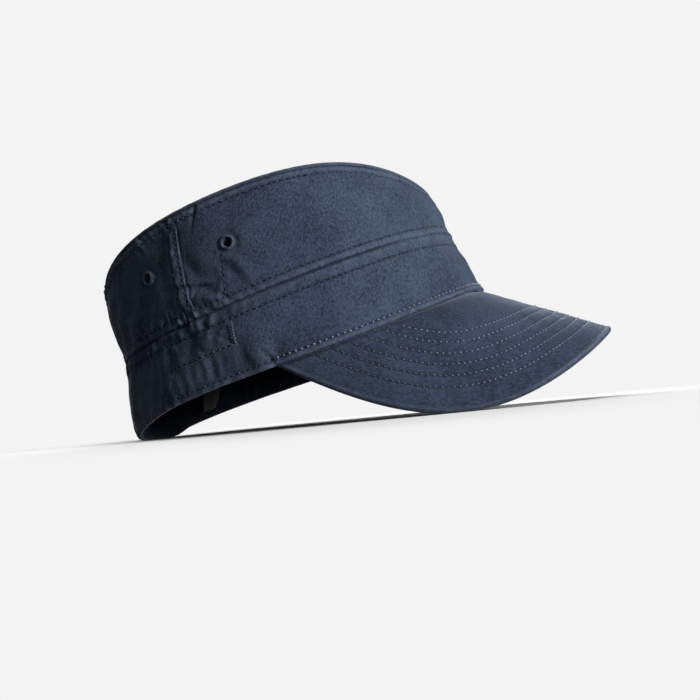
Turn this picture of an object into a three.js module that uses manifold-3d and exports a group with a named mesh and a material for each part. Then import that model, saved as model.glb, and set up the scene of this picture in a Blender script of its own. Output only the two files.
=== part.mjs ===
// A flat-topped cadet cap in cotton twill: crown, band, stiff peak, vent eyelets and side tabs.
// Millimetres, +Z up, peak towards -Y, the wearer's right side towards -X.
// The cap rests on the flattened rear of its rim and on the two low points of the peak's edge.
import * as THREE from "three";
import { mergeVertices } from "three/addons/utils/BufferGeometryUtils.js";
import Module from "manifold-3d";

const wasm = await Module();
wasm.setup();

// Seam lines round the cap, in the plane of the rim. Angles run from the front (0) towards +X.
// heights are the weights of cos(0), cos(angle), cos(2 angle), cos(3 angle) and cos(4 angle).
const rings = {
  rim: { halfWidth: 91.9, halfLength: 99.3, centreY: 0, heights: [0, 0, 0.2, 1.9, -0.5] },
  seam: { halfWidth: 94.2, halfLength: 92.8, centreY: -4.4, heights: [34.3, -1.8, 1.7, 0, 0] },
  top: { halfWidth: 86, halfLength: 90.3, centreY: -5.3, heights: [78.6, -7.5, -8.3, -1.4, -1.7] },
};

// Cloth
const clothThickness = 1.6;
const hem = { thickness: 2.6, level: 0.22, stepLevel: 0.26 };
const sewnGap = 0.3;
const topOverhang = 0.4;
const topSag = 1.5;
const rimFlattening = 2.2;

// Side seams of the crown wall: angle from the front at the lower and the upper edge
const sideSeam = { lowerAngle: 110.5, upperAngle: 107.5 };

// Soft relief of the walls, the same on both sides: angle from the front, level from the lower edge (0)
// to the upper edge (1) of the wall, half extents of the fold and its height (a hollow is negative).
const crownFolds = [
  { angle: 0, level: 0.45, spread: 70, rise: 0.35, height: 0.7 },
  { angle: 105, level: 0.3, spread: 3.2, rise: 0.16, height: -1.4 },
  { angle: 104, level: 0.52, spread: 4.5, rise: 0.1, height: 0.8 },
  { angle: 113, level: 0.45, spread: 3.2, rise: 0.6, height: 0.7 },
  { angle: 120, level: 0.18, spread: 8, rise: 0.14, height: 1 },
  { angle: 131, level: 0.4, spread: 6, rise: 0.3, height: -1.1 },
  { angle: 180, level: 0.35, spread: 38, rise: 0.3, height: 1.3 },
  { angle: 152, level: 0.12, spread: 9, rise: 0.12, height: -0.9 },
];
const bandFolds = [
  { angle: 0, level: 0.5, spread: 70, rise: 0.4, height: 0.5 },
  { angle: 95.5, level: 0.2, spread: 2.6, rise: 0.28, height: 1.3 },
  { angle: 90.5, level: 0.12, spread: 2.2, rise: 0.2, height: -0.9 },
  { angle: 128, level: 0.45, spread: 6, rise: 0.35, height: 0.9 },
  { angle: 140, level: 0.3, spread: 7, rise: 0.3, height: -1 },
  { angle: 180, level: 0.55, spread: 30, rise: 0.35, height: 0.8 },
];

// Peak: its reach falls to nothing at the corners, and its slope steepens towards them
const peak = {
  cornerAngle: 91.9,
  reach: 68.5,
  roundness: 6.6,
  cornerPower: 1.06,
  slope: 38.7,
  slopeGain: 50.3,
  slopeEase: 26.7,
  thickness: 3.2,
  edgeThickness: 1.4,
  endShare: 0.992,
  mainShare: 0.955,
  roundedShare: 0.985,
};

// Vent eyelets, one on each side of a side seam
const eyelets = [
  { name: "eyelet_front", angle: 94.5, level: 0.54 },
  { name: "eyelet_rear", angle: 123.5, level: 0.58 },
];
const eyelet = { holeRadius: 2.1, outerRadius: 3.5, height: 2.8, sides: 16, profileSides: 6, cutLength: 12 };

// Stitched box on each side of the band, and the blank label inside its rear left
const sideTab = { frontAngle: 100.5, rearAngle: 122, lowerLevel: 0.44, upperLevel: 0.79, thickness: 1 };
const label = { startAngle: 133.5, endAngle: 142.5, lowerLevel: 0.12, upperLevel: 0.74, thickness: 1 };

// Facets along and up each surface
const facets = {
  crownFront: [60, 8],
  crownRear: [42, 8],
  band: [100, 6],
  top: [72, 6],
  peak: [46, 8],
  tab: [10, 4],
  label: [4, 6],
};

const colours = { twill: "#323d50", peakTwill: "#364258", thread: "#27303f", label: "#8d9090" };

const radians = THREE.MathUtils.degToRad;
const mirrored = [
  { side: "right", sign: -1 },
  { side: "left", sign: 1 },
];

function ringHeight(ring, angle) {
  return ring.heights.reduce((sum, weight, k) => sum + weight * Math.cos(k * angle), 0);
}

function ringPoint(ring, angle) {
  return new THREE.Vector3(
    ring.halfWidth * Math.sin(angle),
    ring.centreY - ring.halfLength * Math.cos(angle),
    ringHeight(ring, angle),
  );
}

// Level outward direction of the wall at an angle
function outward(angle) {
  const { halfWidth, halfLength } = rings.seam;
  return new THREE.Vector3(halfLength * Math.sin(angle), -halfWidth * Math.cos(angle), 0).normalize();
}

// Sum of the soft folds at a place on a wall
function relief(folds, angle, level) {
  const degrees = Math.abs(THREE.MathUtils.radToDeg(Math.atan2(Math.sin(angle), Math.cos(angle))));
  return folds.reduce((sum, fold) => {
    const along = (degrees - fold.angle) / fold.spread;
    const up = (level - fold.level) / fold.rise;
    return sum + fold.height * Math.exp(-along * along - up * up);
  }, 0);
}

function spread(start, end, count) {
  return Array.from({ length: count + 1 }, (_, i) => start + ((end - start) * i) / count);
}

// A mesh geometry from points and triangles, turned inside out if its faces point in
function solidGeometry(points, triangles) {
  let volume = 0;
  for (const [a, b, c] of triangles) {
    volume += points[a].dot(new THREE.Vector3().crossVectors(points[b], points[c]));
  }
  const faces = volume < 0 ? triangles.map(([a, b, c]) => [a, c, b]) : triangles;
  const geometry = new THREE.BufferGeometry();
  geometry.setAttribute("position", new THREE.Float32BufferAttribute(points.flatMap((p) => p.toArray()), 3));
  geometry.setIndex(faces.flat());
  geometry.computeVertexNormals();
  return geometry;
}

// A closed sheet between two grids of points, rows first; a ring sheet joins its last column to its first
function sheetGeometry(outerGrid, innerGrid, isRing = false) {
  const rows = outerGrid.length;
  const columns = outerGrid[0].length;
  const points = [...outerGrid.flat(), ...innerGrid.flat()];
  const at = (side, row, column) => side * rows * columns + row * columns + (column % columns);
  const triangles = [];
  const quad = (a, b, c, d) => triangles.push([a, b, c], [a, c, d]);
  const spans = isRing ? columns : columns - 1;
  for (let column = 0; column < spans; column++) {
    for (let row = 0; row < rows - 1; row++) {
      quad(at(0, row, column), at(0, row, column + 1), at(0, row + 1, column + 1), at(0, row + 1, column));
      quad(at(1, row, column), at(1, row + 1, column), at(1, row + 1, column + 1), at(1, row, column + 1));
    }
    const last = rows - 1;
    quad(at(0, 0, column), at(1, 0, column), at(1, 0, column + 1), at(0, 0, column + 1));
    quad(at(0, last, column), at(0, last, column + 1), at(1, last, column + 1), at(1, last, column));
  }
  if (!isRing) {
    const last = columns - 1;
    for (let row = 0; row < rows - 1; row++) {
      quad(at(0, row, 0), at(0, row + 1, 0), at(1, row + 1, 0), at(1, row, 0));
      quad(at(0, row, last), at(1, row, last), at(1, row + 1, last), at(0, row + 1, last));
    }
  }
  return solidGeometry(points, triangles);
}

// Height of the top panel, an arch that runs level from side to side through the top seam line
function archHeight(y) {
  const cosine = THREE.MathUtils.clamp((rings.top.centreY - y) / rings.top.halfLength, -1, 1);
  return ringHeight(rings.top, Math.acos(cosine));
}

function topPoint(share, angle) {
  const x = share * (rings.top.halfWidth + topOverhang) * Math.sin(angle);
  const y = rings.top.centreY - share * (rings.top.halfLength + topOverhang) * Math.cos(angle);
  return new THREE.Vector3(x, y, archHeight(y) - topSag * (1 - share * share));
}

function topNormal(y) {
  const step = 0.5;
  const inset = THREE.MathUtils.clamp(
    y,
    rings.top.centreY - rings.top.halfLength + step,
    rings.top.centreY + rings.top.halfLength - step,
  );
  const slope = (archHeight(inset + step) - archHeight(inset - step)) / (2 * step);
  return new THREE.Vector3(0, -slope, 1).normalize();
}

// Oval top panel: rings of points round a middle point, above and below
function crownTopGeometry() {
  const [segments, steps] = facets.top;
  const angles = spread(0, 2 * Math.PI, segments).slice(0, segments);
  const upper = [topPoint(0, 0)];
  for (const share of spread(0, 1, steps).slice(1)) {
    upper.push(...angles.map((angle) => topPoint(share, angle)));
  }
  const lower = upper.map((p) => p.clone().addScaledVector(topNormal(p.y), -clothThickness));
  const count = upper.length;
  const at = (side, ring, k) => side * count + 1 + ring * segments + (k % segments);
  const triangles = [];
  const quad = (a, b, c, d) => triangles.push([a, b, c], [a, c, d]);
  for (let k = 0; k < segments; k++) {
    triangles.push([0, at(0, 0, k), at(0, 0, k + 1)], [count, at(1, 0, k + 1), at(1, 0, k)]);
    for (let ring = 0; ring < steps - 1; ring++) {
      quad(at(0, ring, k), at(0, ring + 1, k), at(0, ring + 1, k + 1), at(0, ring, k + 1));
      quad(at(1, ring, k), at(1, ring, k + 1), at(1, ring + 1, k + 1), at(1, ring + 1, k));
    }
    const edge = steps - 1;
    quad(at(0, edge, k), at(1, edge, k), at(1, edge, k + 1), at(0, edge, k + 1));
  }
  return solidGeometry([...upper, ...lower], triangles);
}

// Outer face of the crown wall, from just above the band seam to just under the top panel
function crownPoint(angle, level) {
  const lower = ringPoint(rings.seam, angle);
  const upper = ringPoint(rings.top, angle);
  lower.z += sewnGap / 2;
  upper.z -= (clothThickness + sewnGap) / topNormal(upper.y).z;
  return lower.lerp(upper, level).addScaledVector(outward(angle), relief(crownFolds, angle, level));
}

// One panel of the crown wall between two seam angles, which lean as the side seams do
function crownPanelGeometry(startOf, endOf, [columns, rows]) {
  const levels = spread(0, 1, rows);
  const angleRows = levels.map((level) => spread(startOf(level), endOf(level), columns));
  const outer = levels.map((level, row) => angleRows[row].map((angle) => crownPoint(angle, level)));
  const inner = outer.map((points, row) =>
    points.map((p, k) => p.clone().addScaledVector(outward(angleRows[row][k]), -clothThickness)),
  );
  return sheetGeometry(outer, inner);
}

function sideSeamAngle(level) {
  return radians(THREE.MathUtils.lerp(sideSeam.lowerAngle, sideSeam.upperAngle, level));
}

// Half the gap of a side seam as an angle
const seamHalfAngle = sewnGap / 2 / rings.seam.halfWidth;

function peakReach(angle) {
  const share = Math.abs(angle) / radians(peak.cornerAngle);
  return peak.reach * Math.max(1 - share ** peak.roundness, 0) ** peak.cornerPower;
}

// Direction in which the peak runs out from the rim, straight forward and down
function peakDirection(angle) {
  const share = angle / radians(peak.cornerAngle);
  const slope = radians(peak.slope + peak.slopeGain * share ** 2 - peak.slopeEase * share ** 4);
  return new THREE.Vector3(0, -Math.cos(slope), -Math.sin(slope));
}

function peakPoint(angle, distance) {
  const point = ringPoint(rings.rim, angle).addScaledVector(peakDirection(angle), distance);
  point.z -= sewnGap;
  return point;
}

function peakNormal(angle, distance) {
  const step = 0.004;
  const along = peakPoint(angle + step, distance).sub(peakPoint(angle - step, distance));
  return peakDirection(angle).cross(along).normalize();
}

// Peak: a curved board, thinned and rounded along its outer edge
function peakGeometry() {
  const [columns, rows] = facets.peak;
  const end = radians(peak.cornerAngle) * peak.endShare;
  const angles = spread(-Math.PI / 2, Math.PI / 2, columns).map((turn) => end * Math.sin(turn));
  const shares = [...spread(0, peak.mainShare, rows - 2), peak.roundedShare, 1];
  const outer = shares.map((share) => angles.map((angle) => peakPoint(angle, share * peakReach(angle))));
  const inner = shares.map((share, row) =>
    angles.map((angle, k) => {
      const fromEdge = THREE.MathUtils.clamp(((1 - share) * peakReach(angle)) / peak.thickness, 0, 1);
      const round = Math.sqrt(1 - (1 - fromEdge) ** 2);
      const thickness = THREE.MathUtils.lerp(peak.edgeThickness, peak.thickness, round);
      return outer[row][k].clone().addScaledVector(peakNormal(angle, share * peakReach(angle)), -thickness);
    }),
  );
  return sheetGeometry(outer, inner);
}

// Rest plane in the plane of the rim: from the flattened rear of the rim down to the peak's lowest edge
const peakShape = peakGeometry();
const rearRim = ringPoint(rings.rim, Math.PI);
rearRim.z += rimFlattening;
const restSlope = Math.max(
  ...Array.from({ length: peakShape.attributes.position.count }, (_, i) => {
    const p = new THREE.Vector3().fromBufferAttribute(peakShape.attributes.position, i);
    return (rearRim.z - p.z) / (rearRim.y - p.y);
  }),
);

function restHeight(y) {
  return rearRim.z - (rearRim.y - y) * restSlope;
}

// Outer face of the band, flattened where the rim rests
function bandPoint(angle, level, offset = 0) {
  const lower = ringPoint(rings.rim, angle);
  const upper = ringPoint(rings.seam, angle);
  upper.z -= sewnGap / 2;
  const point = lower.lerp(upper, level);
  point.addScaledVector(outward(angle), relief(bandFolds, angle, level) + offset);
  point.z = Math.max(point.z, restHeight(point.y));
  return point;
}

// The band is thicker along its folded hem
function bandThickness(level) {
  return level > hem.level ? clothThickness : hem.thickness;
}

function bandGeometry() {
  const [columns, rows] = facets.band;
  const angles = spread(0, 2 * Math.PI, columns).slice(0, columns);
  const levels = [...spread(0, hem.level, 2), ...spread(hem.stepLevel, 1, rows - 3)];
  const outer = levels.map((level) => angles.map((angle) => bandPoint(angle, level)));
  const inner = levels.map((level) => angles.map((angle) => bandPoint(angle, level, -bandThickness(level))));
  return sheetGeometry(outer, inner, true);
}

// A small sewn-on sheet that follows the band, lying between two offsets from its outer face
function bandPatchGeometry(patch, sign, nearOffset, farOffset, [columns, rows]) {
  const angles = spread(sign * radians(patch.start), sign * radians(patch.end), columns);
  const levels = spread(patch.lowerLevel, patch.upperLevel, rows);
  const grid = (offset) => levels.map((level) => angles.map((angle) => bandPoint(angle, level, offset)));
  return sheetGeometry(grid(farOffset), grid(nearOffset));
}

function toManifold(source) {
  const bare = source.clone();
  bare.deleteAttribute("normal");
  bare.deleteAttribute("uv");
  const merged = mergeVertices(bare, 1e-4);
  const vertProperties = new Float32Array(merged.attributes.position.array);
  const triVerts = new Uint32Array(merged.index.array);
  return new wasm.Manifold(new wasm.Mesh({ numProp: 3, vertProperties, triVerts }));
}

function fromManifold(solid) {
  const mesh = solid.getMesh();
  const geometry = new THREE.BufferGeometry();
  geometry.setAttribute("position", new THREE.BufferAttribute(new Float32Array(mesh.vertProperties), 3));
  geometry.setIndex(new THREE.BufferAttribute(new Uint32Array(mesh.triVerts), 1));
  geometry.computeVertexNormals();
  return geometry;
}

// Middle of the wall at an eyelet, and the turn that points a piece's own Y axis out of the wall
function eyeletPlace(row, sign) {
  const angle = sign * radians(row.angle);
  const across = outward(angle);
  const step = 0.05;
  const up = crownPoint(angle, row.level + step).sub(crownPoint(angle, row.level - step)).normalize();
  const normal = across.clone().addScaledVector(up, -across.dot(up)).normalize();
  const position = crownPoint(angle, row.level).addScaledVector(across, -clothThickness / 2);
  return { position, turn: new THREE.Quaternion().setFromUnitVectors(new THREE.Vector3(0, 1, 0), normal) };
}

// Cut a crown panel open at the eyelets of one row of the table
function cutEyelets(panel, row) {
  const radius = eyelet.outerRadius + sewnGap;
  let solid = toManifold(panel);
  for (const { sign } of mirrored) {
    const { position, turn } = eyeletPlace(row, sign);
    const cutter = new THREE.CylinderGeometry(radius, radius, eyelet.cutLength, eyelet.sides);
    cutter.applyQuaternion(turn).translate(position.x, position.y, position.z);
    solid = solid.subtract(toManifold(cutter));
  }
  return fromManifold(solid);
}

// Sewn eyelet: a rounded ring about its own Y axis
function eyeletGeometry() {
  const middle = (eyelet.holeRadius + eyelet.outerRadius) / 2;
  const halfWidth = (eyelet.outerRadius - eyelet.holeRadius) / 2;
  const profile = spread(0, 2 * Math.PI, eyelet.profileSides).map(
    (turn) => new THREE.Vector2(middle + halfWidth * Math.cos(turn), (eyelet.height / 2) * Math.sin(turn)),
  );
  const bare = new THREE.LatheGeometry(profile, eyelet.sides);
  bare.deleteAttribute("normal");
  bare.deleteAttribute("uv");
  const ring = mergeVertices(bare, 1e-4);
  ring.computeVertexNormals();
  return ring;
}

function piece(name, geometry, colour, rough) {
  const material = new THREE.MeshStandardMaterial({ color: colour, roughness: rough, metalness: 0 });
  const mesh = new THREE.Mesh(geometry, material);
  mesh.name = name;
  return mesh;
}

const roughness = { twill: 0.9, thread: 0.8, label: 0.85 };
const cap = new THREE.Group();

const frontPanel = crownPanelGeometry(
  (level) => -sideSeamAngle(level) + seamHalfAngle,
  (level) => sideSeamAngle(level) - seamHalfAngle,
  facets.crownFront,
);
const rearPanel = crownPanelGeometry(
  (level) => sideSeamAngle(level) + seamHalfAngle,
  (level) => 2 * Math.PI - sideSeamAngle(level) - seamHalfAngle,
  facets.crownRear,
);
cap.add(piece("crown_top", crownTopGeometry(), colours.twill, roughness.twill));
cap.add(piece("crown_front", cutEyelets(frontPanel, eyelets[0]), colours.twill, roughness.twill));
cap.add(piece("crown_rear", cutEyelets(rearPanel, eyelets[1]), colours.twill, roughness.twill));
cap.add(piece("band", bandGeometry(), colours.twill, roughness.twill));
cap.add(piece("peak", peakShape, colours.peakTwill, roughness.twill));

for (const row of eyelets) {
  for (const { side, sign } of mirrored) {
    const ring = piece(`${row.name}_${side}`, eyeletGeometry(), colours.thread, roughness.thread);
    const { position, turn } = eyeletPlace(row, sign);
    ring.position.copy(position);
    ring.quaternion.copy(turn);
    cap.add(ring);
  }
}

const tabPatch = { ...sideTab, start: sideTab.frontAngle, end: sideTab.rearAngle };
for (const { side, sign } of mirrored) {
  const sheet = bandPatchGeometry(tabPatch, sign, sewnGap, sewnGap + sideTab.thickness, facets.tab);
  cap.add(piece(`side_tab_${side}`, sheet, colours.twill, roughness.twill));
}

const labelPatch = { ...label, start: label.startAngle, end: label.endAngle };
const labelNear = -hem.thickness - sewnGap;
const labelSheet = bandPatchGeometry(labelPatch, 1, labelNear, labelNear - label.thickness, facets.label);
cap.add(piece("inner_label", labelSheet, colours.label, roughness.label));

// Lay the cap on its rest plane, with the middle of its box over the origin
cap.rotation.x = -Math.atan(restSlope);
cap.updateMatrixWorld(true);
const box = new THREE.Box3().setFromObject(cap, true);
const middle = box.getCenter(new THREE.Vector3());
cap.position.set(-middle.x, -middle.y, -box.min.z);

const flatToppedCap = new THREE.Group();
flatToppedCap.add(cap);

export default flatToppedCap;
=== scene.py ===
# Dresses the flat-topped cadet cap: sewn cloth panels, stiff peak, stitching, eyelets, tabs and label
import bpy
import numpy as np
from mathutils import Matrix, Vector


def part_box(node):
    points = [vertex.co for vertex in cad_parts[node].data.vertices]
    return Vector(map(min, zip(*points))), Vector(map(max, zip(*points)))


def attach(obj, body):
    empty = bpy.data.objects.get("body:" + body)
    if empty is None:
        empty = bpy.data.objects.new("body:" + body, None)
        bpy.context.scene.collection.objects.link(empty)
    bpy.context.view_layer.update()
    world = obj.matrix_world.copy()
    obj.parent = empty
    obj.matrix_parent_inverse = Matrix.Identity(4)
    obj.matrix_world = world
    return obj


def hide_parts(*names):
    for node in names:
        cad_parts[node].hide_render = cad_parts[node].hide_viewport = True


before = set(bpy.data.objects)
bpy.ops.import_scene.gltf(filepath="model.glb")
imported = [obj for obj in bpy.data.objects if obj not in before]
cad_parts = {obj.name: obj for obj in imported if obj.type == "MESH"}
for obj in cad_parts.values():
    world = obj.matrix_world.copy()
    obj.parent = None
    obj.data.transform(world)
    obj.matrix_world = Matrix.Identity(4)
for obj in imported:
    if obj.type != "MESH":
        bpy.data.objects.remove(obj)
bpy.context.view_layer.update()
print("frame loaded:", len(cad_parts), "nodes")

# Seam lines round the cap, mm in the plane of its rim; angles run from the front to the wearer's left.
# heights weigh cos(0), cos(angle), cos(2 angle), cos(3 angle) and cos(4 angle);
# top is the settled cloth, solidTop the seam of the solids that it was settled from
rings = {
    "rim": {"halfWide": 91.9, "halfLong": 99.3, "midY": 0.0, "heights": (0, 0, 0.2, 1.9, -0.5)},
    "seam": {"halfWide": 94.2, "halfLong": 92.8, "midY": -4.4, "heights": (34.3, -1.8, 1.7, 0, 0)},
    "top": {"halfWide": 86.0, "halfLong": 89.7, "midY": -4.3, "heights": (77.7, -6.85, -8.8, -1.2, -1.7)},
    "solidTop": {"halfWide": 86, "halfLong": 90.3, "midY": -5.3, "heights": (78.6, -7.5, -8.3, -1.4, -1.7)},
}
sideRadius = rings["seam"]["halfWide"]  # mm, turns angles into lengths along the walls
cloth = {  # mm
    "thickness": 1.6,
    "gap": 0.3,  # between the solids
    "seamGap": 0.05,  # between sewn edges
    "edgeRound": 0.55,
    "lip": 2.0,  # that a seam allowance inside reaches past its seam
    "topLip": 0.8,  # that it reaches up under the top panel
    "lipDepth": 1.6,  # that it is set back at the seam
    "lipWidth": 3.0,  # from the seam to where that ends
}


# Small curves and measures that the surfaces share

def smoothStep(x, start, end):
    # 0 before start, 1 after end, an s-curve between
    share = np.clip((x - start) / (end - start), 0, 1)
    return share * share * (3 - 2 * share)


def window(x, start, full, fading, end):
    # an s-curve up from start to full and one down from fading to end
    return smoothStep(x, start, full) * (1 - smoothStep(x, fading, end))


def bell(x, middle, width):
    # 1 at the middle, falling as exp(-x squared)
    return np.exp(-(((x - middle) / width) ** 2))


def ridges(x, rows):
    # sum of bells, each given as its height, middle and width
    return sum(height * bell(x, middle, width) for height, middle, width in rows)


def edgeDip(distance, radius):
    # depth of a quarter-round edge: one radius at the edge itself, nothing past one radius from it
    short = radius - np.clip(distance, 0, radius)
    return radius - np.sqrt(radius**2 - short**2)


def unit(vectors):
    # each vector divided by its length
    return vectors / np.linalg.norm(vectors, axis=-1, keepdims=True)


def lengthAlong(line):
    # distances between neighbouring points, summed from the start of a line to each point
    return np.append(0, np.cumsum(np.linalg.norm(np.diff(line, axis=0), axis=1)))


def softNoise(points, size, seed, count=18):
    # plane waves about size mm long in chance directions, summed and evened to a spread of about one
    dice = np.random.default_rng(seed)
    directions = unit(dice.normal(size=(count, 3)))
    turns = 2 * np.pi / (size * dice.uniform(0.75, 1.6, count))
    phases = dice.uniform(0, 2 * np.pi, count)
    waves = sum(np.cos(points @ (d * t) + p) for d, t, p in zip(directions, turns, phases))
    return waves / np.sqrt(count / 2)


def ringWaves(angle, slant, fewest, most, seed, count=9):
    # waves that close round the cap: whole numbers of them with chance phases, shifted by slant
    dice = np.random.default_rng(seed)
    numbers = dice.choice(np.arange(fewest, most), count, replace=False)
    phases = dice.uniform(0, 2 * np.pi, count)
    return sum(np.cos(n * angle + slant + p) for n, p in zip(numbers, phases)) / np.sqrt(count / 2)


def gradedRows(reach, marks, fine=0.2, coarse=0.9, width=0.9):
    # distances from an edge whose steps shrink from coarse to fine round each mark
    even = np.linspace(0, reach, 2000)
    closeness = np.max([bell(even, mark, width) for mark in marks], axis=0)
    density = 1 / (coarse + (fine - coarse) * closeness)
    count = np.append(0, np.cumsum((density[1:] + density[:-1]) / 2 * np.diff(even)))
    return np.interp(np.linspace(0, count[-1], int(np.ceil(count[-1])) + 1), count, even)


def spanRows(length, rowsFromStart, rowsFromEnd, step):
    # fixed distances from both ends of a length and even steps between them, as shares of the length
    free = length - rowsFromStart[-1] - rowsFromEnd[-1]
    steps = np.linspace(0, 1, int(np.max(free) / step) + 1)[1:-1]
    length = np.asarray(length)[..., None]
    middle = rowsFromStart[-1] + np.asarray(free)[..., None] * steps
    rows = [rowsFromStart + 0 * length, middle, length - rowsFromEnd[::-1]]
    return np.concatenate(rows, -1) / length


# Places round the cap

def ringHeight(ring, angle):
    # a sum of cosines of the angle and its multiples
    return sum(weight * np.cos(k * angle) for k, weight in enumerate(ring["heights"]))


def ringPoint(ring, angle):
    # a point of the ring's ellipse, at its height
    y = ring["midY"] - ring["halfLong"] * np.cos(angle)
    return np.stack([ring["halfWide"] * np.sin(angle), y, ringHeight(ring, angle)], -1)


def outward(angle):
    # level direction square to the ellipse of the band seam
    ring = rings["seam"]
    square = [ring["halfLong"] * np.sin(angle), -ring["halfWide"] * np.cos(angle), 0 * angle]
    return unit(np.stack(square, -1))


def fromFront(angle):
    # degrees from the front, alike on both sides
    return np.degrees(np.abs(np.arctan2(np.sin(angle), np.cos(angle))))


def foldRelief(folds, angle, level):
    # sum of bells in angle and level; a fold that leans moves by so many degrees for a whole level
    degrees = fromFront(angle)
    total = 0.0
    for place, middle, spread, rise, lean, height in folds:
        up = level - middle
        total = total + height * bell(degrees - lean * up, place, spread) * bell(up, 0, rise)
    return total


def archHeight(y, top="top"):
    # the top seam's height at the same y, so the top panel runs level from side to side
    ring = rings[top]
    return ringHeight(ring, np.arccos(np.clip((ring["midY"] - y) / ring["halfLong"], -1, 1)))


def archUpright(y, top="top"):
    # upward share of the top panel's normal at y, from the slope over a short step
    ring = rings[top]
    step = 0.5
    inside = ring["halfLong"] - step
    inset = np.clip(y, ring["midY"] - inside, ring["midY"] + inside)
    slope = (archHeight(inset + step, top) - archHeight(inset - step, top)) / (2 * step)
    return 1 / np.sqrt(1 + slope**2)


def wallEdges(lowerRing, upperRing, angle, liftLower, dropUpper):
    # the two edge lines of a wall and its height between them
    lower = ringPoint(rings[lowerRing], angle)
    upper = ringPoint(rings[upperRing], angle)
    lower[..., 2] += liftLower
    upper[..., 2] -= dropUpper
    return lower, upper, np.linalg.norm(upper - lower, axis=-1)


def wallBase(edges, level):
    # the straight line between a wall's two edges
    lower, upper, _ = edges
    return lower + (upper - lower) * level[..., None]


def surfaceNormals(surface, a, b, stepA, stepB):
    # cross product of the surface's two slopes, turned away from the middle of the cap
    alongA = surface(a + stepA, b) - surface(a - stepA, b)
    alongB = surface(a, b + stepB) - surface(a, b - stepB)
    normal = unit(np.cross(alongA, alongB))
    away = np.sum(normal * (surface(a, b) - np.array([0, 0, 10.0])), -1, keepdims=True)
    return np.where(away < 0, -normal, normal)


# Sewn edges, gathers and slack, which the crown and the band share. Of an edge, in mm: row is how far in its
# stitches run, raised the height of the allowance under it, fade where that ends, groove the row's depth.
# pucker is the height of its waves and their gain towards the rear, waves the fewest and most round the cap,
# slant their lean, reach where they die out. Its list of pale lines gives them by strength, distance and
# width; they are rubbing and painted highlight

def frontFlat(angle):
    # seams lie flatter at the very front
    return 0.45 + 0.55 * smoothStep(fromFront(angle), 18, 45)


def seamShadeShare(angle):
    # the painted shade of the seam lines shows at the sides more than at the front
    return 0.15 + 0.85 * smoothStep(fromFront(angle), 30, 58)


def topShow(angle):
    # the top seam and its row hardly show at the front
    return 0.2 + 0.8 * smoothStep(fromFront(angle), 58, 80)


def rearShare(angle):
    # 0 at the front, 1 from the side seams back, where the cloth is looser
    return smoothStep(fromFront(angle), 97, 116)


def seamRound(angle):
    # radius of the edges along the seams: tight at the front, softer round the sides
    return cloth["edgeRound"] * (0.35 + 1.3 * smoothStep(fromFront(angle), 32, 60))


def seamLip(distance):
    # 1 at a seam, falling to nothing at the end of its allowance
    return 1 - smoothStep(distance, 0, cloth["lipWidth"])


def sewnEdge(distance, edge, more=0.0):
    # raised by the allowance under it, less the groove that its row of stitches presses in
    raised = (edge["raised"] + more) * (1 - smoothStep(distance, *edge["fade"]))
    return raised - edge["groove"] * bell(distance, edge["row"], 0.5)


def pucker(angle, distance, edge):
    # waves along a sewn edge that die out away from it, stronger towards the rear
    still, more = edge["pucker"]
    waves = ringWaves(angle, edge["slant"] * distance, *edge["waves"], edge["seed"])
    return (still + more * rearShare(angle)) * waves * bell(distance, 0, edge["reach"])


def crumple(base, size, seed):
    # pleated cloth: valleys where slow waves cross zero, rounded between them; stretched upright
    waves = softNoise(base * np.array([1.0, 1.0, 0.45]), size, seed)
    return np.sqrt(waves**2 + 0.02) - 0.75


def gathers(angle, base, distance, look):
    # creases round the side seams, dying out away from the seam of crown and band
    degrees = fromFront(angle)
    zone = 0.4 * smoothStep(degrees, 96, 104) + 0.6 * smoothStep(degrees, 108, 115)
    zone = zone * (1 - smoothStep(degrees, 132, 148))
    coarse, fine = look["seeds"]
    creases = 0.75 * crumple(base, 4.2, fine) + 0.8 * crumple(base, 7.0, coarse)
    return creases * zone * bell(distance, 0, look["reach"])


def slack(angle, base, look):
    # long waves and short ones, which gain towards the rear; both are calm at the very rear
    long, short, gain = look["heights"]
    waves = long * softNoise(base, look["sizes"][0], look["seeds"][0])
    waves += (short + gain * rearShare(angle)) * softNoise(base, look["sizes"][1], look["seeds"][1])
    return waves * (1 - 0.75 * smoothStep(fromFront(angle), 148, 168))


# Crown wall

crown = {
    "seamFoot": 110.6,  # degrees from the front at the foot of a side seam
    "seamLean": 4.3,  # degrees that its top leans forward
    "seamBend": 2.6,  # power of the level with which it does
    "seamOverlap": 0.02,  # mm that the panels reach past it, so that no slot is left
    "edgeRow": 1.9,  # mm behind it to the row along its folded edge
    "stripWidth": 5.8,  # mm behind it to the row that ends the felled strip
    "hollow": 12.0,  # mm behind it to the hollow in the rear panel
    "rowLevels": (0.13, 0.84),  # between which the two rows run
    "shortRow": {"angles": (100.5, 97.5), "levels": (0.09, 0.46)},  # short row by the front eyelet
    "topRowFrom": 66,  # degrees from the front at which the top row begins to show
    "foot": {
        "row": 4.2, "raised": 0.45, "fade": (3.8, 6.2), "groove": 0.5,
        "rubbedAndLit": [(0.5, 1.5, 0.8), (0.18, 2.6, 1.2)],
        "pucker": (0.1, 0.3), "waves": (58, 130), "slant": 0.45, "reach": 6.5, "seed": 11,
    },
    "head": {
        "row": 3.7, "raised": 0.3, "fade": (3.4, 5.6), "groove": 0.4,
        "rubbedAndLit": [(0.5, 1.6, 0.8), (0.15, 2.4, 1.0)],
        "pucker": (0.07, 0.2), "waves": (60, 140), "slant": -0.4, "reach": 6.5, "seed": 12,
    },
    "gathers": {"reach": 9, "seeds": (16, 17)},
    "slack": {"heights": (0.28, 0.12, 0.2), "sizes": (38, 13), "seeds": (14, 15)},
    "columnStep": 0.8,
    "rowStep": 0.9,
}
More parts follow.
